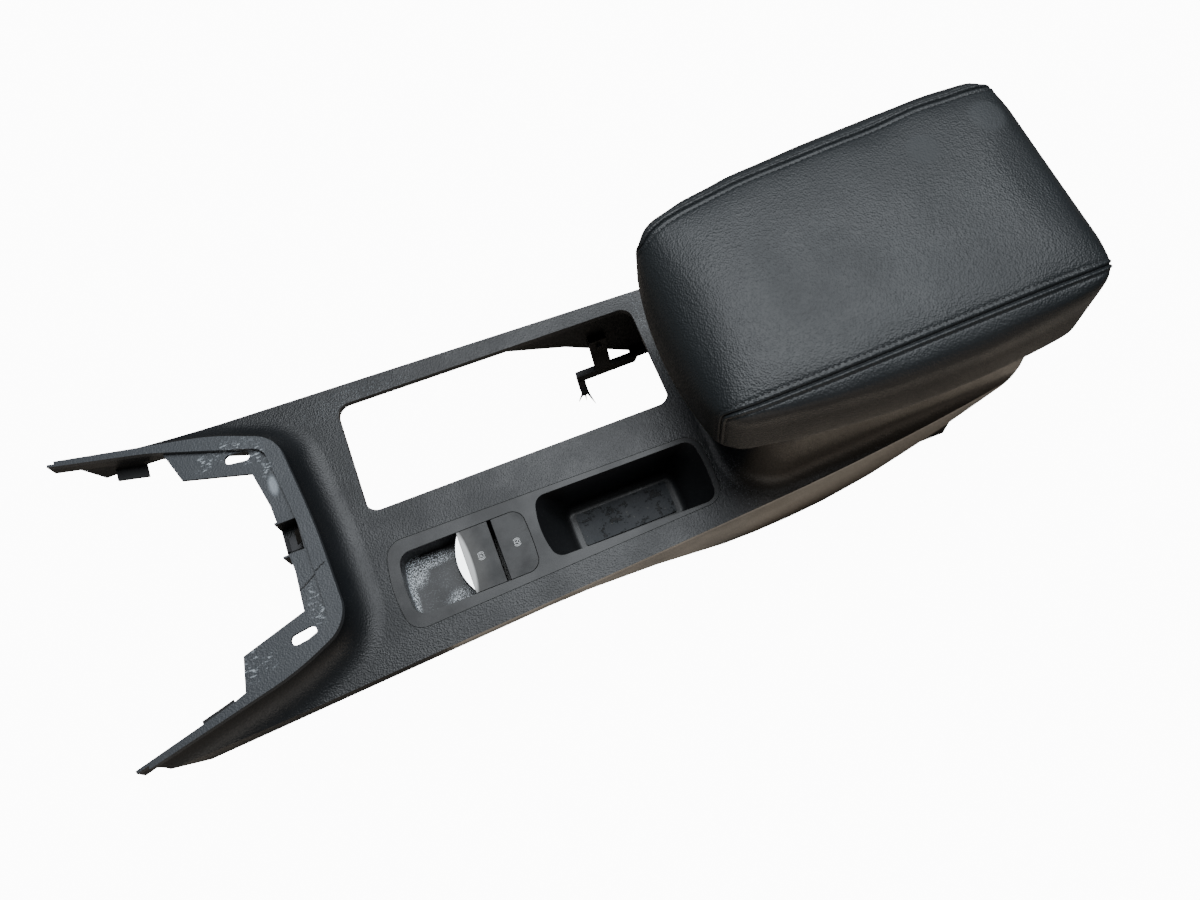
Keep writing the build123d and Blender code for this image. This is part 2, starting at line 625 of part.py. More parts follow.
# Hold button: shallow cap whose round stem slides in the housing's sleeve
with BuildPart() as hold_button:
    add(key_cap(*HOLD_X, HOLD_HEIGHT))
    with BuildSketch(Plane.XY.offset(DECK_Z - KEY_WALL)):
        with Locations((STEM_X, WELL_MIDDLE_Y)):
            Circle(STEM_RADIUS)
    extrude(amount=-(DECK_Z - KEY_WALL - STEM_BOTTOM_Z))

# Housing under the keys, screwed to the pocket's floor from below
board_z = HOUSING_BOTTOM_Z + HOUSING_WALL + BOARD_LIFT
housing_centre = (sum(HOUSING_X) / 2, WELL_MIDDLE_Y)
housing_size = (HOUSING_X[1] - HOUSING_X[0], 2 * HOUSING_HALF_WIDTH)
POSTS = [(ROCKER_PIVOT[0], WELL_MIDDLE_Y + side * POST_Y) for side in (1, -1)]
HOUSING_EARS = [(HOUSING_EAR_X, WELL_MIDDLE_Y + side * POST_Y) for side in (1, -1)]
with BuildPart() as switch_housing:
    with BuildSketch(Plane.XY.offset(HOUSING_BOTTOM_Z)):
        with Locations(housing_centre):
            RectangleRounded(*housing_size, 4)
    extrude(amount=WELL_UNDER_Z - HOUSING_BOTTOM_Z)
    with BuildSketch(Plane.XY.offset(HOUSING_BOTTOM_Z + HOUSING_WALL)):
        with Locations(housing_centre):
            Rectangle(housing_size[0] - 2 * HOUSING_WALL - 4, housing_size[1] - 2 * HOUSING_WALL - 4)
    extrude(amount=DEEP_OVERCUT, mode=Mode.SUBTRACT)
    with BuildSketch(Plane.XY.offset(board_z)):
        with Locations(housing_centre):
            Rectangle(housing_size[0] - 2 * HOUSING_WALL, housing_size[1] - 2 * HOUSING_WALL)
    extrude(amount=DEEP_OVERCUT, mode=Mode.SUBTRACT)
    # posts that hold the rocker's pin
    with BuildSketch(Plane.XY.offset(HOUSING_BOTTOM_Z)):
        with Locations(*POSTS):
            Rectangle(8, POST_THICKNESS)
    extrude(amount=ROCKER_PIVOT[1] + 4 - HOUSING_BOTTOM_Z)
    with BuildSketch(Plane.XZ.offset(-WELL_MIDDLE_Y)):
        with Locations(ROCKER_PIVOT):
            Circle(PIN_RADIUS + PRESS_GAP)
    extrude(amount=POST_Y + 5, both=True, mode=Mode.SUBTRACT)
    # sleeve for the button's stem, on a rib between the side walls
    with BuildSketch(Plane.XY.offset(SLEEVE_BOTTOM_Z)):
        with Locations((STEM_X, WELL_MIDDLE_Y)):
            Rectangle(2, housing_size[1] - 2)
    extrude(amount=WELL_UNDER_Z - 1 - SLEEVE_BOTTOM_Z)
    with BuildSketch(Plane.XY.offset(SLEEVE_BOTTOM_Z)):
        with Locations((STEM_X, WELL_MIDDLE_Y)):
            Circle(STEM_RADIUS + SLIDE_GAP + SLEEVE_WALL)
    extrude(amount=SLEEVE_TOP_Z - SLEEVE_BOTTOM_Z)
    with BuildSketch(Plane.XY.offset(SLEEVE_BOTTOM_Z)):
        with Locations((STEM_X, WELL_MIDDLE_Y)):
            Circle(STEM_RADIUS + SLIDE_GAP)
    extrude(amount=20, mode=Mode.SUBTRACT)
    # ears under the bosses of the pocket's floor, and the plug socket
    with BuildSketch(Plane.XY.offset(HOUSING_EAR_Z - PANEL_PLATE)):
        with Locations(*HOUSING_EARS):
            Circle(EAR_RADIUS)
            with Locations((EAR_RADIUS, 0)):
                Rectangle(2 * EAR_RADIUS, 2 * EAR_RADIUS)
        with Locations(*HOUSING_EARS):
            Circle(SCREW_RADIUS, mode=Mode.SUBTRACT)
    extrude(amount=PANEL_PLATE)
    with BuildSketch(Plane.XY.offset(HOUSING_BOTTOM_Z)):
        with Locations(housing_centre):
            Rectangle(*SOCKET_SIZE)
            offset(amount=-1.2, mode=Mode.SUBTRACT)
    extrude(amount=-SOCKET_DEPTH)

# Circuit board and rubber contact mat on the housing's ledge
with BuildPart() as switch_board:
    with BuildSketch(Plane.XY.offset(board_z)):
        with Locations(housing_centre):
            Rectangle(housing_size[0] - 2 * HOUSING_WALL - 0.4, housing_size[1] - 2 * HOUSING_WALL - 0.4)
        with Locations(*POSTS):
            Rectangle(8.6, POST_THICKNESS + 0.6, mode=Mode.SUBTRACT)
    extrude(amount=BOARD_THICKNESS)
with BuildPart() as contact_mat:
    with BuildSketch(Plane.XY.offset(board_z + BOARD_THICKNESS)):
        with Locations(housing_centre):
            Rectangle(housing_size[0] - 2 * HOUSING_WALL - 4, housing_size[1] - 2 * HOUSING_WALL - 4)
        with Locations(*POSTS):
            Rectangle(10, POST_THICKNESS + 2, mode=Mode.SUBTRACT)
    extrude(amount=1)
    with BuildSketch(Plane.XY.offset(board_z + BOARD_THICKNESS)):
        with Locations(*[(x, WELL_MIDDLE_Y) for x in (ROCKER_PIVOT[0] - 8, ROCKER_PIVOT[0] + 6, STEM_X)]):
            Circle(STEM_RADIUS)
    extrude(amount=STEM_BOTTOM_Z - HOLD_TRAVEL - REST_GAP - board_z - BOARD_THICKNESS, taper=15)


def screws(planes, length, shank=SCREW_RADIUS - PRESS_GAP, head=SCREW_HEAD_RADIUS):
    """Pan-head screws, each seated on a plane whose normal leaves the head."""
    with BuildPart() as group:
        for plane in planes:
            with BuildSketch(plane):
                Circle(head)
            extrude(amount=SCREW_HEAD)
            with BuildSketch(plane):
                Circle(shank)
            extrude(amount=-length)
        fillet(group.faces().filter_by(GeomType.PLANE).edges().filter_by(lambda edge: edge.radius > shank + 1), 0.8)
    return group


panel_screws = screws([Plane((x, y, EAR_Z), z_dir=(0, 0, -1)) for x, y in SCREW_POINTS], 9)
housing_seat_z = HOUSING_EAR_Z - PANEL_PLATE
housing_screws = screws([Plane((x, y, housing_seat_z), z_dir=(0, 0, -1)) for x, y in HOUSING_EARS], 7)

# Spring clip in the flange's pocket
with BuildPart() as front_spring_clip:
    with BuildSketch(Plane.XZ.offset(-pocket_centre[1])):
        low = FLANGE_Z - POCKET_DEPTH + POCKET_WALL + CLIP_STRIP / 2
        rear = POCKET_X[1] - POCKET_WALL - CLIP_STRIP / 2
        with BuildLine() as strip:
            Polyline((POCKET_X[0] + 1, low + 2), (POCKET_X[0] + 4, low), (rear, low), (rear, FLANGE_Z - 2), (rear - 5, FLANGE_Z - 7))
        trace(strip.line, line_width=CLIP_STRIP)
    extrude(amount=CLIP_WIDTH / 2, both=True)


def arm_clip(side):
    """Clip that hangs from the return wall of one arm, with a tongue turned inward."""
    with BuildPart() as clip:
        with BuildSketch(across(inner_line)):
            with Locations((0, -RETURN_DEPTH)):
                Rectangle(RETURN_WALL, ARM_CLIP_DROP, align=(Align.MIN, Align.MAX))
            with Locations((RETURN_WALL, -RETURN_DEPTH - ARM_CLIP_DROP)):
                Rectangle(ARM_CLIP_TONGUE, RETURN_WALL, align=(Align.MAX, Align.MIN))
        sweep(path=inner_line)
        with BuildSketch():
            with Locations((ARM_CLIP_X[0] - side * COLLAR_SKEW * ARM_HALF_WIDTH, 0)):
                Rectangle(ARM_CLIP_X[1] - ARM_CLIP_X[0], side * ALL_THROUGH,
                          align=(Align.MIN, Align.MIN if side > 0 else Align.MAX))
        extrude(amount=ALL_THROUGH, mode=Mode.INTERSECT)
    return clip


arm_clip_right = arm_clip(1)
arm_clip_left = arm_clip(-1)


def side_rail(side):
    """Mounting bar inside one side wall, with a tab up to the wall and prongs at its front."""
    bend = side_y(RAIL_X[1], RAIL_Z[1]) - WALL - RAIL_THICKNESS - RAIL_Y
    pad_x = RAIL_X[1] - RAIL_PAD_LENGTH
    outer = RAIL_Y + RAIL_THICKNESS
    past = ARM_HALF_WIDTH
    foot_y = RAIL_Y - 8
    with BuildPart() as rail:
        with BuildSketch(Plane.XY.offset(RAIL_Z[0])):
            with BuildLine():
                Polyline((RAIL_X[0], RAIL_Y), (RAIL_X[0], outer), (pad_x - bend, outer), (pad_x - bend, past),
                         (RAIL_X[1], past), (RAIL_X[1], RAIL_Y + bend), (pad_x + 2, RAIL_Y + bend),
                         (pad_x + 2 - bend, RAIL_Y), close=True)
            make_face()
        extrude(amount=RAIL_Z[1] - RAIL_Z[0])
        with BuildSketch(Plane.YZ.offset(RAIL_TAB_X[0])):
            with BuildLine():
                wall_y = side_y(RAIL_TAB_X[0], RAIL_TAB_BEND_Z) - WALL
                Polyline((RAIL_Y, RAIL_Z[0]), (RAIL_Y, RAIL_Z[1]), (wall_y - RAIL_THICKNESS, RAIL_TAB_BEND_Z),
                         (wall_y - RAIL_THICKNESS + 1, RAIL_TAB_TOP_Z), (past, RAIL_TAB_TOP_Z), (past, RAIL_TAB_BEND_Z),
                         (wall_y - 1, RAIL_TAB_BEND_Z - 2), (outer, RAIL_Z[1]), (outer, RAIL_Z[0]), close=True)
            make_face()
        extrude(amount=RAIL_TAB_X[1] - RAIL_TAB_X[0])
        loft([body_outline(z, WALL + SEAT) for z in (0.0, DECK_Z)], ruled=True, mode=Mode.INTERSECT)
        # stem at the bar's front end, and the flat prongs that fan out of it
        with BuildSketch(Plane.YZ.offset(RAIL_X[0])):
            with BuildLine():
                Polyline((outer, RAIL_Z[1]), (outer, 12), (RAIL_Y, 2), (foot_y, 0), (foot_y, 5), (RAIL_Y - 3, 8),
                         (RAIL_Y, RAIL_Z[0]), (RAIL_Y, RAIL_Z[1]), close=True)
            make_face()
        extrude(amount=PRONG_WIDTH)
        with BuildSketch():
            for place, tip in enumerate(PRONG_TIPS):
                root_x = RAIL_X[0] + PRONG_WIDTH * (place + 0.5) / len(PRONG_TIPS)
                with BuildLine():
                    Polyline((root_x - 1.2, foot_y + 2), tip, (root_x + 1.2, foot_y + 2), close=True)
                make_face()
        extrude(amount=3)
        for x, z in PEG_POINTS:
            with BuildSketch(Plane.XZ):
                with Locations((x, z)):
                    Circle(PEG_RADIUS + FIT_GAP)
            extrude(amount=-ALL_THROUGH, mode=Mode.SUBTRACT)
        if side < 0:
            mirror(about=Plane.XZ, mode=Mode.REPLACE)
    return rail


side_rail_right = side_rail(1)
side_rail_left = side_rail(-1)


def bin_plan(grow=0.0):
    return quad_plan(BIN_FRONT_X, BIN_REAR_X, (-BIN_HALF_WIDTH, BIN_HALF_WIDTH),
                     (-BIN_TAIL_HALF_WIDTH, BIN_TAIL_HALF_WIDTH), BIN_RADIUS, grow=grow)


def bin_floor_plan(grow=0.0):
    return quad_plan(BIN_FLOOR_FRONT_X, BIN_FLOOR_REAR_X, (-BIN_FLOOR_HALF_WIDTH, BIN_FLOOR_HALF_WIDTH),
                     (-BIN_FLOOR_TAIL_HALF_WIDTH, BIN_FLOOR_TAIL_HALF_WIDTH), BIN_RADIUS, grow=grow)


def bracket_place(side):
    """Plane on the outer face of one rear bracket, at its screw."""
    return Plane((sum(BRACKET_X) / 2, side * BRACKET_Y, BRACKET_SCREW_Z), x_dir=(1, 0, 0), z_dir=(0, side, 0))


# Storage bin: tapered box with a flange on the tower's edge and a lug for each rear bracket
with BuildPart() as storage_bin:
    with BuildSketch(Plane.XY.offset(TOWER_TOP_Z)):
        add(tower_outline(TOWER_TOP_Z).moved(Location((0, 0, -TOWER_TOP_Z))))
    extrude(amount=BIN_FLANGE)
    fillet(storage_bin.faces().sort_by(Axis.Z)[-1].edges(), radius=1.2)
    loft([Plane.XY.offset(BIN_FLOOR_Z - BIN_WALL) * bin_floor_plan(BIN_WALL), Plane.XY.offset(TOWER_TOP_Z + 1) * bin_plan(BIN_WALL)],
         ruled=True)
    with BuildSketch(Plane.XY.offset(LUG_Z[0])):
        with Locations((sum(BRACKET_X) / 2, 0)):
            Rectangle(LUG_LENGTH, 2 * (BRACKET_Y - BRACKET_THICKNESS))
    extrude(amount=LUG_Z[1] - LUG_Z[0])
    with BuildPart(mode=Mode.PRIVATE) as bin_inside:
        loft([Plane.XY.offset(BIN_FLOOR_Z) * bin_floor_plan(), Plane.XY.offset(BIN_TOP_Z) * bin_plan()], ruled=True)
        fillet(bin_inside.faces().sort_by(Axis.Z)[0].edges(), radius=BIN_CORNER)
    add(bin_inside.part, mode=Mode.SUBTRACT)
    for side in (1, -1):
        with BuildSketch(bracket_place(side)):
            Circle(SCREW_RADIUS)
        extrude(amount=-BRACKET_THICKNESS - 7, mode=Mode.SUBTRACT)

with BuildPart() as bin_mat:
    with BuildSketch(Plane.XY.offset(BIN_FLOOR_Z)):
        add(bin_floor_plan(-BIN_CORNER - FIT_GAP))
    extrude(amount=MAT_THICKNESS)

# Rubber stops that the closed armrest rests on
with BuildPart() as bump_stops:
    with BuildSketch(Plane.XY.offset(BIN_TOP_Z)):
        with Locations(*[(x, side * y) for x, y in STOP_POINTS for side in (1, -1)]):
            Circle(STOP_RADIUS)
    extrude(amount=PAN_BOTTOM_Z - BIN_TOP_Z - REST_GAP, taper=12)


def rear_bracket(side):
    """Pressed steel bracket: web on the bin's lug, foot on the car's floor."""
    with BuildPart() as bracket:
        with BuildSketch(Plane.YZ.offset(BRACKET_X[0])):
            outside = side * BRACKET_Y
            with BuildLine():
                Polyline((outside, BRACKET_TOP_Z), (outside, 0), (outside - side * BRACKET_FOOT, 0),
                         (outside - side * BRACKET_FOOT, BRACKET_THICKNESS),
                         (outside - side * BRACKET_THICKNESS, BRACKET_THICKNESS),
                         (outside - side * BRACKET_THICKNESS, BRACKET_TOP_Z), close=True)
            make_face()
        extrude(amount=BRACKET_X[1] - BRACKET_X[0])
        with BuildSketch(Plane.XY.offset(-1)):
            with Locations((sum(BRACKET_X) / 2, side * BRACKET_HOLE_Y)):
                Circle(BRACKET_HOLE_RADIUS)
        extrude(amount=BRACKET_THICKNESS + 2, mode=Mode.SUBTRACT)
        with BuildSketch(bracket_place(side)):
            Circle(SCREW_RADIUS + 0.3)
        extrude(amount=-BRACKET_THICKNESS, mode=Mode.SUBTRACT)
    return bracket


rear_bracket_right = rear_bracket(1)
rear_bracket_left = rear_bracket(-1)
bracket_screws = screws([bracket_place(side) for side in (1, -1)], BRACKET_THICKNESS + 6)


def pad_plan(inset=0.0):
    """Plan of the armrest: bowed on all four sides, with round corners."""
    front = (PAD_CORNER_X + inset, PAD_FRONT_HALF_WIDTH - inset)
    rear = (PAD_REAR_CORNER_X - inset, PAD_REAR_HALF_WIDTH - inset)
    with BuildSketch() as plan:
        with BuildLine():
            ThreePointArc((front[0], -front[1]), (PAD_FRONT_X + inset, 0), front)
            ThreePointArc(front, (PAD_WIDEST_X, PAD_HALF_WIDTH - inset), rear)
            ThreePointArc(rear, (PAD_REAR_X - inset, 0), (rear[0], -rear[1]))
            ThreePointArc((rear[0], -rear[1]), (PAD_WIDEST_X, inset - PAD_HALF_WIDTH), (front[0], -front[1]))
        make_face()
        fillet(plan.vertices().group_by(Axis.X)[0], radius=PAD_FRONT_RADIUS - inset)
        fillet(plan.vertices().group_by(Axis.X)[-1], radius=PAD_REAR_RADIUS - inset)
    return plan.sketch


# Padded cushion, hollow below for the pan that it wraps
slope = (PAD_TOP_REAR_Z - PAD_TOP_FRONT_Z) / (PAD_TOP_REAR_X - PAD_FRONT_X)
with BuildPart() as armrest_pad:
    add(prism(pad_plan(), PAD_BOTTOM_Z, PAD_TOP_REAR_Z + 5))
    with BuildSketch(Plane.XZ) as side_view:
        with BuildLine():
            Polyline((PAD_FRONT_X, PAD_BOTTOM_Z), (PAD_FRONT_X, PAD_TOP_FRONT_Z), (PAD_TOP_REAR_X, PAD_TOP_REAR_Z),
                     (PAD_REAR_X, PAD_BOTTOM_Z), close=True)
        make_face()
        fillet(side_view.vertices().group_by(Axis.Y)[-1], radius=PAD_TOP_REAR_RADIUS)
        fillet(side_view.vertices().sort_by(lambda corner: corner.X - corner.Y)[0], radius=PAD_TOP_FRONT_RADIUS)
    extrude(amount=ALL_THROUGH, both=True, mode=Mode.INTERSECT)
    cross_plane = Plane((PAD_FRONT_X, 0, PAD_TOP_FRONT_Z), x_dir=(0, 1, 0), z_dir=(1, 0, slope))
    with BuildSketch(cross_plane) as cross_view:
        with BuildLine():
            edge_drop = -PAD_CROWN
            Line((-PAD_HALF_WIDTH, edge_drop), (-PAD_HALF_WIDTH, -120))
            Line((-PAD_HALF_WIDTH, -120), (PAD_HALF_WIDTH, -120))
            Line((PAD_HALF_WIDTH, -120), (PAD_HALF_WIDTH, edge_drop))
            ThreePointArc((PAD_HALF_WIDTH, edge_drop), (0, 0), (-PAD_HALF_WIDTH, edge_drop))
        make_face()
        fillet(cross_view.vertices().group_by(Axis.Y)[-1], radius=PAD_SHOULDER_RADIUS)
    extrude(amount=500, both=True, mode=Mode.INTERSECT)
    add(prism(pad_plan(PAN_INSET), PAN_BOTTOM_Z, PAN_TOP_Z), mode=Mode.SUBTRACT)

# Hard pan inside the cushion, and the panel that closes it
LINER_TOP_Z = PAN_BOTTOM_Z + LINER_THICKNESS
LID_SCREWS = [(x, side * y) for x, y in LID_SCREW_POINTS for side in (1, -1)]
LEAF_SCREWS = [(LEAF_SCREW_X, y) for y in LEAF_SCREW_Y]
with BuildPart() as lid_shell:
    add(prism(pad_plan(PAN_INSET), PAN_BOTTOM_Z, PAN_TOP_Z))
    add(prism(pad_plan(PAN_INSET + PAN_WALL), PAN_BOTTOM_Z - 1, PAN_TOP_Z - PAN_WALL), mode=Mode.SUBTRACT)
    with BuildSketch(Plane.XY.offset(LINER_TOP_Z)):
        with Locations(*LID_SCREWS, *LEAF_SCREWS):
            Circle(EAR_RADIUS)
    extrude(amount=PAN_TOP_Z - PAN_WALL - LINER_TOP_Z)
    with BuildSketch(Plane.XY.offset(LINER_TOP_Z + PAN_RIB_LIFT)):
        with Locations(*[(x, 0) for x in PAN_RIB_X]):
            Rectangle(PAN_RIB, 2 * PAD_HALF_WIDTH)
        add(pad_plan(PAN_INSET + PAN_WALL / 2), mode=Mode.INTERSECT)
    extrude(amount=PAN_TOP_Z - PAN_WALL - LINER_TOP_Z - PAN_RIB_LIFT)
    with BuildSketch(Plane.XY.offset(LINER_TOP_Z)):
        with Locations(*LID_SCREWS, *LEAF_SCREWS):
            Circle(SCREW_RADIUS)
    extrude(amount=12, mode=Mode.SUBTRACT)
with BuildPart() as lid_liner:
    add(prism(pad_plan(PAN_INSET + PAN_WALL + FIT_GAP), PAN_BOTTOM_Z, LINER_TOP_Z))
    with BuildSketch(Plane.XY.offset(PAN_BOTTOM_Z - 1)):
        with Locations(*LID_SCREWS, *LEAF_SCREWS):
            Circle(SCREW_RADIUS)
    extrude(amount=LINER_THICKNESS + 2, mode=Mode.SUBTRACT)
    with BuildSketch(Plane.XY.offset(PAN_BOTTOM_Z)):
        with Locations(*LID_SCREWS):
            Circle(SCREW_HEAD_RADIUS + 0.4)
    extrude(amount=LID_SCREW_SINK, mode=Mode.SUBTRACT)

lid_screws = screws([Plane((x, y, PAN_BOTTOM_Z + LID_SCREW_SINK), z_dir=(0, 0, -1)) for x, y in LID_SCREWS], 9)

# Hinge: bracket on the tower's rear wall, pin along Y, leaf under the armrest's pan
HINGE_EAR_Y = HINGE_HALF_SPAN + REST_GAP
with BuildPart() as hinge_bracket:
    with BuildSketch(Plane.YZ.offset(REAR_X)):
        with Locations((0, HINGE_PLATE_Z[0])):
            Rectangle(2 * (HINGE_EAR_Y + HINGE_EAR), HINGE_PLATE_Z[1] - HINGE_PLATE_Z[0], align=(Align.CENTER, Align.MIN))
    extrude(amount=HINGE_PLATE)
    for side in (1, -1):
        with BuildSketch(Plane.XZ.offset(-side * HINGE_EAR_Y)):
            with BuildLine():
                Polyline((REAR_X, HINGE_PLATE_Z[0]), (REAR_X, HINGE_PLATE_Z[1]), (HINGE_X, HINGE_Z + HINGE_KNUCKLE_RADIUS),
                         (HINGE_X + HINGE_KNUCKLE_RADIUS, HINGE_Z), (HINGE_X, HINGE_Z - HINGE_KNUCKLE_RADIUS), close=True)
            make_face()
            with Locations((HINGE_X, HINGE_Z)):
                Circle(HINGE_KNUCKLE_RADIUS)
                Circle(HINGE_PIN_RADIUS + PRESS_GAP, mode=Mode.SUBTRACT)
        extrude(amount=-side * HINGE_EAR)
    with BuildSketch(Plane.YZ.offset(REAR_X)):
        with Locations(*[(y, HINGE_SCREW_Z) for y in HINGE_SCREW_Y]):
            Circle(SCREW_RADIUS)
    extrude(amount=HINGE_PLATE, mode=Mode.SUBTRACT)

with BuildPart() as hinge_pin:
    with BuildSketch(Plane.XZ):
        with Locations((HINGE_X, HINGE_Z)):
            Circle(HINGE_PIN_RADIUS)
    extrude(amount=HINGE_EAR_Y + HINGE_EAR + 1, both=True)

with BuildPart() as hinge_leaf:
    with BuildSketch(Plane.XZ):
        with Locations((HINGE_X, HINGE_Z)):
            Circle(HINGE_KNUCKLE_RADIUS)
        with Locations((HINGE_X + HINGE_KNUCKLE_RADIUS, HINGE_Z)):
            Rectangle(HINGE_EAR, PAN_BOTTOM_Z - HINGE_Z, align=(Align.MAX, Align.MIN))
        with Locations((HINGE_X + HINGE_KNUCKLE_RADIUS, PAN_BOTTOM_Z)):
            Rectangle(LEAF_LENGTH, HINGE_PLATE, align=(Align.MAX, Align.MAX))
        with Locations((HINGE_X, HINGE_Z)):
            Circle(HINGE_PIN_RADIUS + RUNNING_GAP, mode=Mode.SUBTRACT)
    extrude(amount=HINGE_HALF_SPAN, both=True)
    with BuildSketch(Plane.XY.offset(PAN_BOTTOM_Z)):
        with Locations(*LEAF_SCREWS):
            Circle(SCREW_RADIUS)
    extrude(amount=-HINGE_PLATE, mode=Mode.SUBTRACT)

hinge_face_x = REAR_X + HINGE_PLATE
hinge_screws = screws([Plane((hinge_face_x, y, HINGE_SCREW_Z), z_dir=(1, 0, 0)) for y in HINGE_SCREW_Y], 9)
leaf_seat_z = PAN_BOTTOM_Z - HINGE_PLATE
leaf_screws = screws([Plane((x, y, leaf_seat_z), z_dir=(0, 0, -1)) for x, y in LEAF_SCREWS], 12)

PIECES = {
    "console_shell": console_shell, "switch_panel": switch_panel, "tray_mat": tray_mat,
    "parking_brake_switch": parking_brake_switch, "switch_chrome_lip": switch_chrome_lip,
    "brake_switch_pin": brake_switch_pin, "hold_button": hold_button, "switch_housing": switch_housing,
    "switch_board": switch_board, "contact_mat": contact_mat, "panel_screws": panel_screws,
    "housing_screws": housing_screws, "front_spring_clip": front_spring_clip,
    "arm_clip_right": arm_clip_right, "arm_clip_left": arm_clip_left,
    "side_rail_right": side_rail_right, "side_rail_left": side_rail_left,
    "storage_bin": storage_bin, "bin_mat": bin_mat, "bump_stops": bump_stops,
    "rear_bracket_right": rear_bracket_right, "rear_bracket_left": rear_bracket_left,
    "bracket_screws": bracket_screws, "armrest_pad": armrest_pad, "lid_shell": lid_shell,
    "lid_liner": lid_liner, "lid_screws": lid_screws, "hinge_bracket": hinge_bracket,
    "hinge_pin": hinge_pin, "hinge_leaf": hinge_leaf, "hinge_screws": hinge_screws, "leaf_screws": leaf_screws,
}
for name, piece in PIECES.items():
    piece.part.label = name
    export_step(piece.part, "parts/" + name + ".step")
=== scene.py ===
"""Looks of a car centre console: worn moulded plastic, bright switch lip and a stitched leather armrest.

Metres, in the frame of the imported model: +X to the car's rear, +Y to its right, +Z up.
"""

import math

import bmesh
import bpy
import numpy as np
from mathutils import Matrix, Vector
from mathutils.bvhtree import BVHTree


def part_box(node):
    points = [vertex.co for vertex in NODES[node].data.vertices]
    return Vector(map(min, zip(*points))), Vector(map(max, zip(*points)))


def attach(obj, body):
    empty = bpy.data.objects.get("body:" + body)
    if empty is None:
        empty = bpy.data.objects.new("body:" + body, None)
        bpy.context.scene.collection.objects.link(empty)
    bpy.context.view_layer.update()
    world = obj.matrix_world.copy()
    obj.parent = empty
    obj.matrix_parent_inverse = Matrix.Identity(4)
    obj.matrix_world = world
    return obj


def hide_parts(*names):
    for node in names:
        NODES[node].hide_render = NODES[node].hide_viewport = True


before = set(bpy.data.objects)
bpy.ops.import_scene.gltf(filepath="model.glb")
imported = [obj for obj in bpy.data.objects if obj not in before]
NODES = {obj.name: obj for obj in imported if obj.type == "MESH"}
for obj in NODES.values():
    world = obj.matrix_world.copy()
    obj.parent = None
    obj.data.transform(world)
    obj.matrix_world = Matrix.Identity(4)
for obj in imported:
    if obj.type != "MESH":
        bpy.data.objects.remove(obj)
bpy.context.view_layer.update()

MM = 0.001

# Camera that the photograph was taken with
CAMERA_AT = Vector((-0.0409, -0.3389, 0.8895))
CAMERA_TO = Vector((0.0238, -0.0169, 0.1050))
CAMERA_ROLL = -0.183
CAMERA_LENS = 30.92

# Levels and stations of the console's body
FLANGE_Z = 0.129
COLLAR_BAND = (0.1276, 0.2)  # heights that hold the flange and the lip
COLLAR_X = (-0.5, -0.195)
LIP_Z = 0.133
DECK_Z = 0.105
DECK_BAND = (0.098, 0.2)  # below these heights everything is side wall
TOWER_BAND = (0.0, 0.165)
TOWER_X = (0.12, 0.37)
TOWER_INNER_Y = 0.078

# Worn places, and places of painted glints, as (x, y, reach in x, reach in y) on one level
FLANGE_SCUFFS = (
    (-0.262, 0.091, 0.019, 0.007),
    (-0.2425, 0.078, 0.011, 0.008),
    (-0.2345, 0.060, 0.005, 0.010),
    (-0.285, 0.086, 0.008, 0.007),
    (-0.280, -0.090, 0.012, 0.012),
    (-0.226, -0.064, 0.006, 0.016),
)
FLANGE_BLOT = (-0.2335, 0.0465, 0.0035, 0.0080)
# places of painted glints: pale flecks that stand in for light caught by the grain
LIP_PAINTED_GLINTS = ((-0.245, 0.098, 0.045, 0.016),)
DECK_PAINTED_GLINTS = (
    (-0.150, 0.108, 0.050, 0.014),
    (0.104, 0.062, 0.009, 0.060),
    (-0.163, 0.060, 0.012, 0.055),
    (0.128, -0.085, 0.022, 0.030),
)
CRACK_START = (-0.2370, -0.0480, 0.130)  # hairline crack across the collar's flange and lip
CRACK_END = (-0.2105, -0.0330, 0.130)
CRACK_WIDTH = 0.6 * MM

# Dusty finger pocket in the switch panel
POCKET_X = (-0.163, -0.113)
POCKET_BAND = (0.080, 0.0875)
POCKET_FLOOR_Z = 0.084
PANEL_WALL_BAND = (0.04, 0.098)
POCKET_CRUSTS = (
    (-0.153, -0.050, 0.009, 0.013),
    (-0.141, -0.0465, 0.022, 0.0055),
    (-0.1215, -0.0865, 0.012, 0.0085),
    (-0.1155, -0.066, 0.0025, 0.020),
    (-0.1595, -0.070, 0.003, 0.017),
)

# Keys
KEY_BLACK = (0.010, 0.0105, 0.0115)
HOLD_DARK_PATCHES = ((-0.0555, -0.056, 0.006, 0.004), (-0.062, -0.086, 0.008, 0.0025))
# painted highlight on the brake switch: a bright arc and a fading sheen tinted in at its front
ROCKER_FRONT = (-0.110, -0.0662, 0.1045)
ROCKER_PAINTED_SHEEN_REACH = (0.0145, 0.0340, 0.02)
ROCKER_PAINTED_HIGHLIGHT_REACH = (0.0050, 0.0262, 0.02)
BRAKE_SYMBOL_AT = (-0.0967, -0.0655, DECK_Z)
HOLD_SYMBOL_AT = (-0.0662, -0.0655, DECK_Z)
SYMBOL_LINE = 0.42 * MM
SYMBOL_HEIGHT = 0.03 * MM

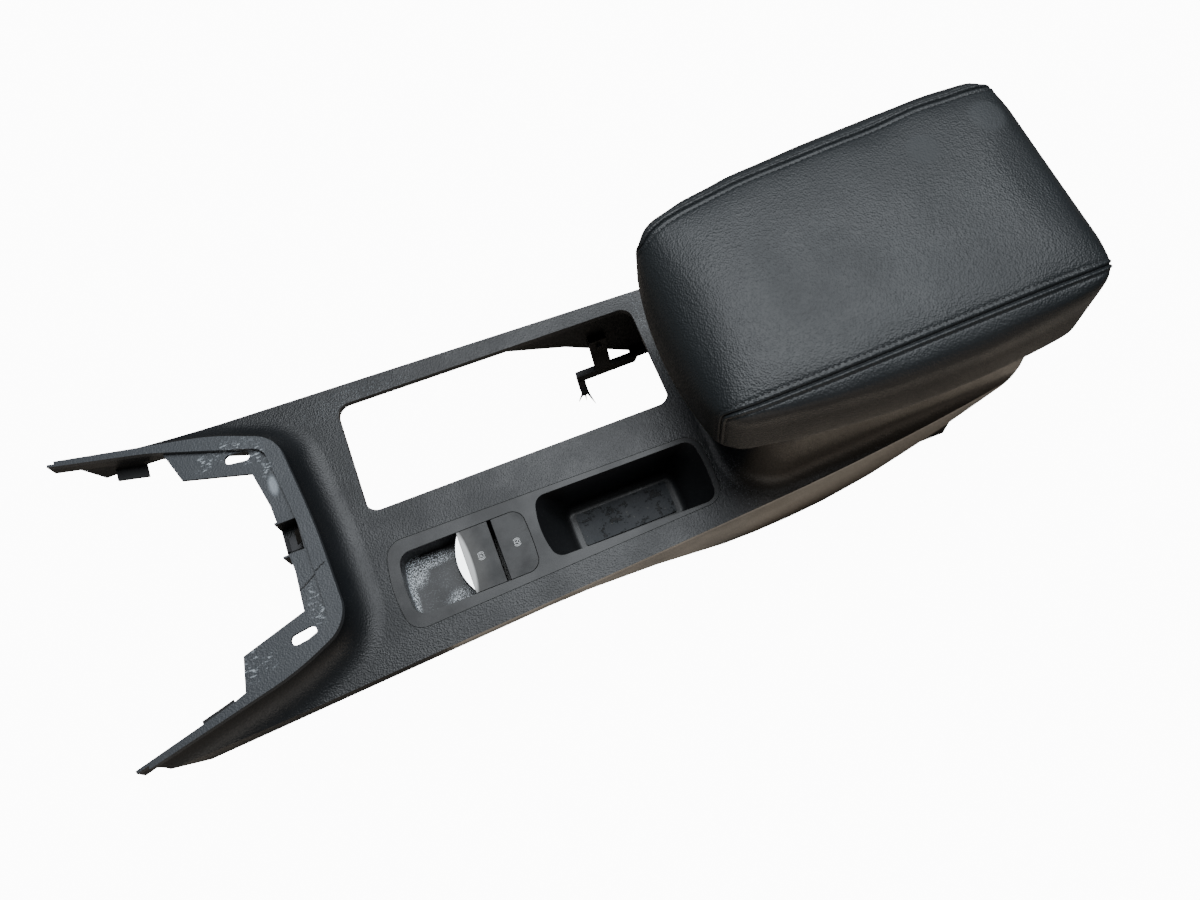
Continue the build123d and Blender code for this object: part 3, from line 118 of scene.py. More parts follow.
# Armrest cushion
PAD_LOW, PAD_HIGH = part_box("armrest_pad")
TOP_FRONT_Z = 0.241
TOP_REAR_Z = 0.261
ROUND = Vector((0.045, 0.034, 0.030))  # rays fan out within this much of the cushion's edges
SEAM_X = (0.090, 0.125, 0.180, 0.330, 0.395)
SEAM_Y = {
    -1: (0.0820, 0.0845, 0.0855, 0.0865, 0.0885),
    1: (0.0740, 0.0830, 0.0895, 0.0905, 0.0865),
}
GRID = 0.0045  # spacing of the cushion's mesh away from its seams
GRID_SPILL = 0.002  # the grid's box stands this far outside the cushion
GRID_RISE = 0.001  # and this far above its top
SIDE_HEIGHT = 0.065
RIM_LIFT = 0.0006  # the lowest grid line lies this far above the cushion's underside
SEAM_LINES = (0.0, 0.5, 1.1, 1.8, 2.6, 3.4, 4.3, 5.4, 6.3, 7.5, 9.5)  # mm to each side of a seam
OUTER_SHARES = (0.34, 0.67, 1.0)
STITCH_ROW = 5.4  # mm from the seam to a row of stitches
RAY_START = 0.3
RELAX_ROUNDS = 3
TUCK = 0.012  # the cover turns in under the cushion over this height
TUCK_IN = 0.0055
LINING_RAY_RISE = 0.010
LINING_RISE = 0.0195  # the lining crosses above the pan at this height

# Groove across a seam: depths and widths in mm
GROOVE_DEPTH = 1.7
GROOVE_WIDTH = 0.75
ROLL_AT = 2.8
ROLL_WIDTH = 1.5
ROLL_OUTSIDE = 1.05
ROLL_INSIDE = 0.55
DIMPLE_DEPTH = 0.45
DIMPLE_WIDTH = 0.9

# Blowing up of the cushion's skin
SIM_VOXEL = 0.005
SIM_SLIM = 0.0004  # the simulated skin starts this far inside the cushion's faces
SIM_SLIM_RISE = 0.02  # from this height on, and less below it
SIM_HELD_HEIGHT = 0.010  # the skin is held below this height
SIM_CAP = 0.0050  # no point of the skin swells further than this
SIM_PRESSURE = 4.0
SIM_QUALITY = 6
SIM_MASS = 0.3
SIM_FRAMES = 20
SIM_EVENING_ROUNDS = 12

# Stitches
STITCH_PITCH = 0.0047
STITCH_LENGTH = 0.0030
STITCH_MARGIN = 0.006  # a row starts this far from its path's ends
THREAD_RADIUS = 0.00040
THREAD_SIDES = 6
THREAD_STATIONS = (0.0, 0.2, 0.5, 0.8, 1.0)
THREAD_SIZES = (0.35, 1.0, 1.0, 1.0, 0.35)
THREAD_LIFTS = (-0.9, 0.1, 0.4, 0.1, -0.9)
LOOK_AHEAD = 0.001

# Smudges on the leather, as (centre, reach)
SMUDGES = (
    ((0.3164, 0.0511, 0.252), (0.0115, 0.0135, 0.03)),
    ((0.3713, 0.0578, 0.256), (0.0130, 0.0150, 0.03)),
)
LEATHER_TOP_BAND = (0.224, 0.30)

# Stage
FLOOR_REACH = 30
FLOOR_GLOW = 12.0
WORLD_STRENGTH = 0.03


def add_camera():
    forward = (CAMERA_TO - CAMERA_AT).normalized()
    right = forward.cross(Vector((0, 0, 1))).normalized()
    up = right.cross(forward)
    turned_right = right * math.cos(CAMERA_ROLL) + up * math.sin(CAMERA_ROLL)
    turned_up = up * math.cos(CAMERA_ROLL) - right * math.sin(CAMERA_ROLL)
    data = bpy.data.cameras.new("camera")
    data.lens = CAMERA_LENS
    data.sensor_width = 36.0
    data.clip_start = 0.01
    camera = bpy.data.objects.new("camera", data)
    bpy.context.scene.collection.objects.link(camera)
    columns = Matrix((turned_right, turned_up, -forward)).transposed()
    camera.matrix_world = Matrix.Translation(CAMERA_AT) @ columns.to_4x4()
    bpy.context.scene.camera = camera


def add_light(name, place, target, size, power, color):
    data = bpy.data.lights.new(name, "AREA")
    data.shape = "RECTANGLE"
    data.size, data.size_y = size
    data.energy = power
    data.color = color
    light = bpy.data.objects.new(name, data)
    bpy.context.scene.collection.objects.link(light)
    light.location = place
    light.rotation_euler = (Vector(target) - Vector(place)).to_track_quat("-Z", "Y").to_euler()
    return light


class Look:
    """A material built up from a few procedural layers, in the object's own metres."""

    def __init__(self, name, color, rough, metal=0.0, specular=0.5):
        self.material = bpy.data.materials.new(name)
        self.material.use_nodes = True
        self.tree = self.material.node_tree
        self.shader = self.tree.nodes["Principled BSDF"]
        self.coords = self.tree.nodes.new("ShaderNodeTexCoord").outputs["Object"]
        self.shader.inputs["Base Color"].default_value = (*color, 1)
        self.shader.inputs["Roughness"].default_value = rough
        self.shader.inputs["Metallic"].default_value = metal
        self.shader.inputs["Specular IOR Level"].default_value = specular
        self.color = None
        self.base = (*color, 1)
        self.rough = None
        self.rough_base = rough
        self.normal = None

    def link(self, source, target):
        """Join two sockets."""
        self.tree.links.new(source, target)

    def stretched(self, scale):
        """The object's coordinates, scaled along each axis."""
        mapping = self.tree.nodes.new("ShaderNodeMapping")
        mapping.inputs["Scale"].default_value = scale
        self.link(self.coords, mapping.inputs["Vector"])
        return mapping.outputs["Vector"]

    def noise(self, scale, detail=4.0, rough=0.55, stretch=None):
        """Cloudy pattern between 0 and 1."""
        made = self.tree.nodes.new("ShaderNodeTexNoise")
        made.inputs["Scale"].default_value = scale
        made.inputs["Detail"].default_value = detail
        made.inputs["Roughness"].default_value = rough
        self.link(self.stretched(stretch) if stretch else self.coords, made.inputs["Vector"])
        return made.outputs["Fac"]

    def cells(self, scale, smooth=0.6):
        """Pebbled pattern, 0 in the middle of each cell."""
        made = self.tree.nodes.new("ShaderNodeTexVoronoi")
        made.feature = "SMOOTH_F1"
        made.inputs["Scale"].default_value = scale
        made.inputs["Smoothness"].default_value = smooth
        self.link(self.coords, made.inputs["Vector"])
        return made.outputs["Distance"]

    def ramp(self, source, low, high):
        """Rise softly from 0 at low to 1 at high."""
        made = self.tree.nodes.new("ShaderNodeMapRange")
        made.interpolation_type = "SMOOTHSTEP"
        made.inputs["From Min"].default_value = low
        made.inputs["From Max"].default_value = high
        self.link(source, made.inputs["Value"])
        return made.outputs["Result"]

    def math(self, kind, first, second):
        """One step of arithmetic on sockets or numbers."""
        made = self.tree.nodes.new("ShaderNodeMath")
        made.operation = kind
        for socket, value in zip(made.inputs, (first, second)):
            if isinstance(value, (int, float)):
                socket.default_value = value
            else:
                self.link(value, socket)
        return made.outputs[0]

    def inverse(self, fac):
        """1 where fac is 0."""
        return self.math("SUBTRACT", 1.0, fac)

    def tint(self, fac, color, amount):
        """Mix a colour in where fac is 1, by the given amount."""
        made = self.tree.nodes.new("ShaderNodeMix")
        made.data_type = "RGBA"
        if self.color is None:
            made.inputs["A"].default_value = self.base
        else:
            self.link(self.color, made.inputs["A"])
        made.inputs["B"].default_value = (*color, 1)
        self.link(self.math("MULTIPLY", fac, amount), made.inputs["Factor"])
        self.color = made.outputs["Result"]
        self.link(self.color, self.shader.inputs["Base Color"])

    def roughen(self, fac, amount):
        """Add to the roughness where fac is 1."""
        before = self.rough_base if self.rough is None else self.rough
        self.rough = self.math("ADD", before, self.math("MULTIPLY", fac, amount))
        self.link(self.rough, self.shader.inputs["Roughness"])

    def bump(self, height, depth, strength=1.0):
        """Relief whose full height is depth metres."""
        made = self.tree.nodes.new("ShaderNodeBump")
        made.inputs["Distance"].default_value = depth
        made.inputs["Strength"].default_value = strength
        self.link(height, made.inputs["Height"])
        if self.normal is not None:
            self.link(self.normal, made.inputs["Normal"])
        self.normal = made.outputs["Normal"]
        self.link(self.normal, self.shader.inputs["Normal"])

    def window(self, center, size, soft):
        """1 inside a soft-edged ellipsoid round a point."""
        gap = self.tree.nodes.new("ShaderNodeVectorMath")
        gap.operation = "SUBTRACT"
        self.link(self.coords, gap.inputs[0])
        gap.inputs[1].default_value = center
        scaled = self.tree.nodes.new("ShaderNodeVectorMath")
        scaled.operation = "DIVIDE"
        self.link(gap.outputs[0], scaled.inputs[0])
        scaled.inputs[1].default_value = size
        length = self.tree.nodes.new("ShaderNodeVectorMath")
        length.operation = "LENGTH"
        self.link(scaled.outputs[0], length.inputs[0])
        inside = self.ramp(length.outputs["Value"], 1.0 - soft, 1.0 + soft)
        return self.inverse(inside)

    def between(self, axis, low, high, soft=0.4 * MM):
        """1 where one object coordinate lies between two values."""
        split = self.tree.nodes.new("ShaderNodeSeparateXYZ")
        self.link(self.coords, split.inputs[0])
        value = split.outputs[axis]
        above = self.ramp(value, low - soft, low + soft)
        below = self.inverse(self.ramp(value, high - soft, high + soft))
        return self.math("MULTIPLY", above, below)

    def all_of(self, *facs):
        """Product of several masks."""
        product = facs[0]
        for fac in facs[1:]:
            product = self.math("MULTIPLY", product, fac)
        return product

    def scratch(self, start, end, width):
        """1 along a wavering line between two points of a level surface."""
        start, end = Vector(start), Vector(end)
        along = (end - start).normalized()
        across = Vector((-along.y, along.x, 0))
        gap = self.tree.nodes.new("ShaderNodeVectorMath")
        gap.operation = "SUBTRACT"
        self.link(self.coords, gap.inputs[0])
        gap.inputs[1].default_value = start
        values = []
        for way in (across, along):
            dot = self.tree.nodes.new("ShaderNodeVectorMath")
            dot.operation = "DOT_PRODUCT"
            self.link(gap.outputs[0], dot.inputs[0])
            dot.inputs[1].default_value = way
            values.append(dot.outputs["Value"])
        sway = 0.004
        end_fade = 0.001
        wave = self.math("MULTIPLY", self.math("SUBTRACT", self.noise(260.0, 3.0), 0.5), sway)
        side = self.math("ABSOLUTE", self.math("ADD", values[0], wave), 0.0)
        near = self.inverse(self.ramp(side, width * 0.4, width))
        length = (end - start).length
        inside = self.inverse(self.ramp(values[1], length - end_fade, length + end_fade))
        return self.all_of(near, self.ramp(values[1], -end_fade, end_fade), inside)


def grained_plastic(name, color, rough, grain, depth, dust_and_glints):
    """Moulded plastic or rubber with a pebbled grain, an uneven tone and fine pale specks, partly dust and
    partly painted glints.
    """
    look = Look(name, color, rough)
    cells = look.cells(grain)
    fine = look.noise(2600.0, 2.0)
    look.bump(look.math("ADD", cells, look.math("MULTIPLY", fine, 0.35)), depth)
    tone = look.ramp(look.noise(9.0), 0.35, 0.7)
    look.tint(tone, tuple(c * 1.35 for c in color), 0.6)
    look.roughen(look.ramp(look.noise(24.0), 0.35, 0.7), 0.10)
    # pale specks: partly dust, partly painted glints of the grain
    specks_and_glints = look.ramp(look.noise(1500.0, 1.0), 0.70, 0.78)
    look.tint(specks_and_glints, (0.36, 0.37, 0.38), dust_and_glints)
    return look


def smooth_plastic(name, color, rough, specular=0.5):
    """Moulded plastic without grain, slightly uneven in tone and polish."""
    look = Look(name, color, rough, specular=specular)
    look.tint(look.ramp(look.noise(14.0), 0.3, 0.7), tuple(c * 1.3 for c in color), 0.6)
    look.roughen(look.ramp(look.noise(55.0), 0.4, 0.75), 0.12)
    look.bump(look.noise(160.0, 3.0), 0.05 * MM)
    return look


def metal(name, color, rough):
    look = Look(name, color, rough, metal=1.0)
    look.roughen(look.noise(90.0), 0.12)
    look.bump(look.noise(700.0, 2.0, stretch=(1, 6, 1)), 0.02 * MM)
    return look


def dress(nodes, look):
    for name in nodes:
        mesh = NODES[name].data
        mesh.materials.clear()
        mesh.materials.append(look.material)


def blobs(level, depth, places):
    """Centre and reach of each place on one level, for Look.window."""
    return [((x, y, level), (reach_x, reach_y, depth)) for x, y, reach_x, reach_y in places]


def shell_look():
    """Body of the console: grained outside, smooth slate-grey on the collar's lip and flange."""
    look = grained_plastic("shell_plastic", (0.0098, 0.0114, 0.0134), 0.36,
                           grain=760.0, depth=0.21 * MM, dust_and_glints=0.12)
    collar = look.all_of(look.between("Z", *COLLAR_BAND), look.between("X", *COLLAR_X))
    look.tint(collar, (0.066, 0.073, 0.082), 0.88)
    look.roughen(collar, 0.06)

    # white scuffs on the flange, and one pale blot
    streaks = look.ramp(look.noise(420.0, 4.0, 0.7, stretch=(0.5, 1.4, 1.0)), 0.53, 0.60)
    blotches = look.ramp(look.noise(150.0, 3.0), 0.42, 0.56)
    for spot, reach in blobs(FLANGE_Z, 0.01, FLANGE_SCUFFS):
        look.tint(look.all_of(look.window(spot, reach, 0.5), streaks, blotches), (0.52, 0.57, 0.61), 0.85)
    for spot, reach in blobs(FLANGE_Z, 0.01, [FLANGE_BLOT]):
        look.tint(look.window(spot, reach, 0.5), (0.42, 0.47, 0.52), 0.7)

    # painted glints: pale flecks tinted into the grain where it would catch the light
    painted_glints = look.ramp(look.noise(900.0, 2.0), 0.58, 0.66)
    for spot, reach in blobs(LIP_Z, 0.02, LIP_PAINTED_GLINTS) + blobs(DECK_Z, 0.02, DECK_PAINTED_GLINTS):
        look.tint(look.all_of(look.window(spot, reach, 0.5), painted_glints), (0.16, 0.18, 0.20), 0.6)

    crack = look.all_of(look.scratch(CRACK_START, CRACK_END, CRACK_WIDTH), look.between("Z", *COLLAR_BAND))
    look.tint(crack, (0.001, 0.001, 0.001), 0.95)
    look.bump(look.inverse(crack), 0.4 * MM)

    # scuffed side walls, the scuffs tinted brownish as a painted reflection of the ground that the walls
    # mirror
    scuffs_and_reflection = look.ramp(look.noise(60.0, 5.0, 0.7, stretch=(0.35, 1.0, 1.0)), 0.60, 0.72)
    walls = look.inverse(look.between("Z", *DECK_BAND))
    look.tint(look.all_of(walls, scuffs_and_reflection), (0.050, 0.043, 0.036), 0.5)
    # painted reflection: the tower's outer sides are tinted a lighter brownish grey for the lit ground that
    # they mirror
    tower_inside = look.between("Y", -TOWER_INNER_Y, TOWER_INNER_Y, 0.006)
    tower_side_reflection = look.all_of(look.between("Z", *TOWER_BAND, 0.006), look.between("X", *TOWER_X, 0.02),
                             look.inverse(tower_inside))
    look.tint(tower_side_reflection, (0.060, 0.053, 0.044), 0.80)
    look.roughen(walls, 0.10)
    return look


def panel_look():
    """Switch and tray panel, with dried white crusts in the finger pocket."""
    look = grained_plastic("panel_plastic", (0.0125, 0.0132, 0.0145), 0.38,
                           grain=1500.0, depth=0.03 * MM, dust_and_glints=0.04)
    pocket = look.all_of(look.between("X", *POCKET_X), look.between("Z", *POCKET_BAND))
    salt = look.ramp(look.noise(1050.0, 3.0, 0.7), 0.50, 0.545)
    for spot, reach in blobs(POCKET_FLOOR_Z, 0.02, POCKET_CRUSTS):
        look.tint(look.all_of(pocket, look.window(spot, reach, 0.45), salt), (0.82, 0.88, 0.93), 0.95)
    look.tint(look.all_of(pocket, look.ramp(look.noise(700.0, 4.0), 0.52, 0.70)), (0.11, 0.12, 0.13), 0.55)
    wall_dust = look.ramp(look.noise(500.0, 3.0), 0.60, 0.74)
    look.tint(look.all_of(look.between("Z", *PANEL_WALL_BAND), wall_dust), (0.09, 0.09, 0.09), 0.25)
    return look


def hold_look():
    """Hold button, darker in patches at its rear edge."""
    look = smooth_plastic("key_plastic", KEY_BLACK, 0.33, specular=0.33)
    dark_patches = look.ramp(look.noise(130.0, 4.0, 0.7, stretch=(1.0, 3.0, 1.0)), 0.52, 0.60)
    for spot, reach in blobs(DECK_Z, 0.02, HOLD_DARK_PATCHES):
        look.tint(look.all_of(look.window(spot, reach, 0.4), dark_patches), (0.002, 0.002, 0.002), 0.9)
    return look


def rocker_look():
    """Brake switch, with a painted highlight at its front: a bright arc and its fading painted sheen behind
    the lip.
    """
    look = smooth_plastic("rocker_plastic", KEY_BLACK, 0.33, specular=0.33)
    # painted highlight: a fading sheen, then a bright arc
    look.tint(look.window(ROCKER_FRONT, ROCKER_PAINTED_SHEEN_REACH, 0.45), (0.075, 0.072, 0.067), 0.6)
    look.tint(look.window(ROCKER_FRONT, ROCKER_PAINTED_HIGHLIGHT_REACH, 0.20), (0.80, 0.80, 0.79), 0.95)
    return look


def tray_mat_look():
    """Rubber mat whose surface flakes off."""
    look = grained_plastic("mat_rubber", (0.030, 0.034, 0.039), 0.60,
                           grain=1100.0, depth=0.08 * MM, dust_and_glints=0.2)
    flaked = look.ramp(look.noise(120.0, 5.0, 0.7), 0.56, 0.60)
    look.tint(flaked, (0.004, 0.004, 0.004), 0.85)
    look.tint(look.ramp(look.noise(260.0, 4.0, 0.7), 0.66, 0.72), (0.20, 0.19, 0.17), 0.6)
    look.bump(flaked, 0.2 * MM)
    return look


def chrome_look():
    look = Look("bright_lip", (0.93, 0.93, 0.92), 0.16, metal=1.0)
    look.roughen(look.noise(120.0), 0.08)
    look.bump(look.noise(60.0, 2.0), 0.02 * MM)
    return look


def leather_look():
    """Pebbled leather, with painted shade darkening the sides, and two pale smudges."""
    look = Look("armrest_leather", (0.0135, 0.0170, 0.0196), 0.45, specular=0.55)
    pebbles = look.cells(720.0, 0.35)
    creases = look.noise(330.0, 3.0)
    look.bump(look.math("ADD", pebbles, look.math("MULTIPLY", creases, 0.9)), 0.30 * MM)
    look.bump(look.noise(34.0, 2.0), 0.5 * MM, 0.4)
    look.tint(look.ramp(look.noise(7.0), 0.35, 0.7), (0.0185, 0.0232, 0.0262), 0.7)
    # painted shade: the leather below the top band is tinted darker
    painted_shade_side = look.inverse(look.between("Z", *LEATHER_TOP_BAND, 0.008))
    look.tint(painted_shade_side, (0.0040, 0.0056, 0.0066), 0.85)
    look.roughen(painted_shade_side, 0.12)
    look.roughen(look.ramp(look.noise(12.0), 0.35, 0.7), 0.08)
    for spot, reach in SMUDGES:
        smudge = look.window(spot, reach, 0.25)
        look.tint(smudge, (0.050, 0.056, 0.060), 0.55)
        look.roughen(smudge, 0.10)
    return look


def dress_hard_parts():
    dress(["console_shell"], shell_look())
    dress(["switch_panel"], panel_look())
    bin_look = grained_plastic("bin_plastic", (0.010, 0.0102, 0.011), 0.55,
                               grain=900.0, depth=0.06 * MM, dust_and_glints=0.08)
    dress(["storage_bin", "lid_shell", "lid_liner"], bin_look)
    dress(["hold_button"], hold_look())
    dress(["parking_brake_switch"], rocker_look())
    housing_look = smooth_plastic("housing_plastic", (0.012, 0.012, 0.013), 0.5)
    dress(["switch_housing", "arm_clip_right", "arm_clip_left"], housing_look)
    dress(["tray_mat"], tray_mat_look())
    dark_rubber = grained_plastic("dark_rubber", (0.012, 0.012, 0.012), 0.75,
                                  grain=1100.0, depth=0.08 * MM, dust_and_glints=0.1)
    dress(["bin_mat", "bump_stops"], dark_rubber)
    dress(["contact_mat"], smooth_plastic("contact_rubber", (0.30, 0.30, 0.29), 0.6))
    dress(["switch_board"], smooth_plastic("circuit_board", (0.01, 0.09, 0.035), 0.35))
    dress(["switch_chrome_lip"], chrome_look())
    dress(["brake_switch_pin", "panel_screws", "housing_screws", "bracket_screws", "lid_screws", "hinge_pin",
           "hinge_screws", "leaf_screws"], metal("zinc_steel", (0.55, 0.55, 0.56), 0.32))
    dress(["front_spring_clip"], metal("spring_steel", (0.05, 0.05, 0.052), 0.4))
    dress(["side_rail_right", "side_rail_left", "rear_bracket_right", "rear_bracket_left", "hinge_bracket",
           "hinge_leaf"], smooth_plastic("coated_steel", (0.008, 0.008, 0.009), 0.42))


def band(points, width, height):
    """Raised flat line through a list of plan points, as vertices and faces."""
    verts, faces = [], []
    for n, point in enumerate(points):
        before, after = Vector(points[max(n - 1, 0)]), Vector(points[min(n + 1, len(points) - 1)])
        way = (after - before).normalized()
        side = Vector((-way.y, way.x)) * width / 2
        for level in (-height, height):
            verts.append((point[0] + side.x, point[1] + side.y, level))
            verts.append((point[0] - side.x, point[1] - side.y, level))
    for n in range(len(points) - 1):
        a, b = 4 * n, 4 * n + 4
        faces += [(a + 2, a + 3, b + 3, b + 2), (a, b, b + 1, a + 1)]
        faces += [(a, a + 2, b + 2, b), (a + 1, b + 1, b + 3, a + 3)]
    last = 4 * (len(points) - 1)
    faces += [(0, 1, 3, 2), (last, last + 2, last + 3, last + 1)]
    return verts, faces


def arc(radius, start, end, count=18):
    angles = [math.radians(start + (end - start) * n / count) for n in range(count + 1)]
    return [(radius * math.cos(angle), radius * math.sin(angle)) for angle in angles]


def mark(name, lines, place, body, paint):
    """Printed symbol on a key, made of thin raised bands."""
    verts, faces = [], []
    for points in lines:
        more, sides = band([(x * MM, y * MM) for x, y in points], SYMBOL_LINE, SYMBOL_HEIGHT)
        faces += [tuple(len(verts) + n for n in side) for side in sides]
        verts += [(x + place[0], y + place[1], z + place[2]) for x, y, z in more]
    mesh = bpy.data.meshes.new(name)
    mesh.from_pydata(verts, [], faces)
    mesh.materials.append(paint.material)
    made = bpy.data.objects.new(name, mesh)
    bpy.context.scene.collection.objects.link(made)
    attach(made, body)


def add_symbols():
    """A ring with two side arcs on each key, and a plain sign within; sizes in mm."""
    paint = Look("key_paint", (0.75, 0.77, 0.78), 0.5)
    ring = [arc(2.3, 0, 359), arc(3.3, 35, 145), arc(3.3, 215, 325)]
    base_line = [(1.1, -0.7), (-1.1, -0.7)]
    hook = [(-1.0, -0.7), (-1.0, 0.4), (-0.7, 0.8), (-0.2, 0.8), (0.1, 0.4), (0.1, -0.6)]
    mark("brake_symbol", ring + [base_line, hook], BRAKE_SYMBOL_AT, "brake_switch", paint)
    spokes = [[(0, 0), (-1.9, 0)], [(0, 0), (1.2, 1.5)], [(0, 0), (1.2, -1.5)]]
    mark("hold_symbol", ring + spokes, HOLD_SYMBOL_AT, "hold_button", paint)


def top_at(x):
    share = (x - PAD_LOW.x) / (PAD_HIGH.x - PAD_LOW.x)
    return TOP_FRONT_Z + share * (TOP_REAR_Z - TOP_FRONT_Z)


def seam_at(side, x):
    return float(np.interp(x, SEAM_X, SEAM_Y[side]))


def spaced(low, high, step):
    return list(np.linspace(low, high, max(2, int(round((high - low) / step)) + 1)))


def bvh_of(mesh):
    spots = [vertex.co.copy() for vertex in mesh.vertices]
    return BVHTree.FromPolygons(spots, [tuple(face.vertices) for face in mesh.polygons])


def with_modifiers(obj):
    """The object's mesh with its modifiers worked in, which then come off it."""
    mesh = bpy.data.meshes.new_from_object(obj.evaluated_get(bpy.context.evaluated_depsgraph_get()))
    obj.modifiers.clear()
    obj.data = mesh
    return mesh


def closed_outline(cad):
    """Convex hull of the CAD cushion, which has no hollow for the pan."""
    edit = bmesh.new()
    for vertex in cad.data.vertices:
        edit.verts.new(vertex.co)
    parts = bmesh.ops.convex_hull(edit, input=edit.verts)
    leftovers = parts["geom_interior"] + parts["geom_unused"]
    spare = {part for part in leftovers if isinstance(part, bmesh.types.BMVert)}
    bmesh.ops.delete(edit, geom=list(spare), context="VERTS")
    bmesh.ops.recalc_face_normals(edit, faces=edit.faces)
    mesh = bpy.data.meshes.new("cushion_form")
    edit.to_mesh(mesh)
    edit.free()
    return mesh


def even_swelling(mesh, start, ways):
    """How far each vertex has swollen along its first normal, capped and averaged with its neighbours."""
    swelling = np.array([min(SIM_CAP, max(0.0, (vertex.co - first).dot(way)))
                         for vertex, first, way in zip(mesh.vertices, start, ways)])
    edges = np.array([edge.vertices for edge in mesh.edges])
    count = np.bincount(edges.ravel(), minlength=len(swelling))
    for _ in range(SIM_EVENING_ROUNDS):
        total = np.zeros(len(swelling))
        np.add.at(total, edges[:, 0], swelling[edges[:, 1]])
        np.add.at(total, edges[:, 1], swelling[edges[:, 0]])
        swelling = 0.5 * swelling + 0.5 * total / count
    return swelling


def padded_form(cad):
    """Outer form of the cushion: its closed outline, slimmed and blown up again as a cloth skin."""
    mesh = closed_outline(cad)
    form = bpy.data.objects.new("cushion_form", mesh)
    bpy.context.scene.collection.objects.link(form)
    remesh = form.modifiers.new("remesh", "REMESH")
    remesh.mode = "VOXEL"
    remesh.voxel_size = SIM_VOXEL
    mesh = with_modifiers(form)
    start, ways = [], []
    held = form.vertex_groups.new(name="held")
    for vertex in mesh.vertices:
        height = vertex.co.z - PAD_LOW.z
        vertex.co -= vertex.normal * SIM_SLIM * min(1.0, max(0.0, height / SIM_SLIM_RISE))
        start.append(vertex.co.copy())
        ways.append(vertex.normal.copy())
        if height < SIM_HELD_HEIGHT:
            held.add([vertex.index], 1.0, "REPLACE")
    cloth = form.modifiers.new("cloth", "CLOTH")
    cloth.settings.quality = SIM_QUALITY
    cloth.settings.mass = SIM_MASS
    cloth.settings.use_pressure = True
    cloth.settings.uniform_pressure_force = SIM_PRESSURE
    cloth.settings.effector_weights.gravity = 0.0
    cloth.settings.vertex_group_mass = "held"
    for step in range(1, SIM_FRAMES + 1):
        bpy.context.scene.frame_set(step)
    mesh = with_modifiers(form)
    swelling = even_swelling(mesh, start, ways)
    for vertex, first, way, amount in zip(mesh.vertices, start, ways, swelling):
        vertex.co = first + way * float(amount)
    form.modifiers.new("finer", "SUBSURF").levels = 1
    tree = bvh_of(with_modifiers(form))
    bpy.data.objects.remove(form)
    bpy.context.scene.frame_set(1)
    return tree


def inner_point(point, z):
    """Where the ray through a point starts: the point itself, kept clear of the cushion's edges."""
    return Vector((min(max(point.x, PAD_LOW.x + ROUND.x), PAD_HIGH.x - ROUND.y),
                   min(max(point.y, -PAD_HIGH.y + ROUND.y), PAD_HIGH.y - ROUND.y), z))


def surface_point(tree, point):
    """Outermost point of the cushion towards a point of the box round it."""
    inner = inner_point(point, min(point.z, top_at(point.x) - ROUND.z))
    way = (point - inner).normalized()
    hit = tree.ray_cast(inner + way * RAY_START, -way)
    return hit[0] if hit[0] is not None else point


def y_lines():
    """Lines from the middle of the cushion to one side, as (kind, offset from the seam in mm or share)."""
    middle_x = 0.25
    inner = spaced(0.0, 1.0, GRID / (seam_at(-1, middle_x) - SEAM_LINES[-1] * MM))
    lines = [("inner", share) for share in inner[:-1]]
    lines += [("seam", -value) for value in SEAM_LINES[::-1]]
    lines += [("seam", value) for value in SEAM_LINES[1:]]
    lines += [("outer", share) for share in OUTER_SHARES]
    return lines


def line_y(side, line, x):
    """Distance of a grid line from the cushion's middle at a station."""
    kind, value = line
    seam = seam_at(side, x)
    first = seam - SEAM_LINES[-1] * MM
    last = seam + SEAM_LINES[-1] * MM
    if kind == "inner":
        return first * value
    if kind == "seam":
        return seam + value * MM
    return last + (PAD_HIGH.y + GRID_SPILL - last) * value


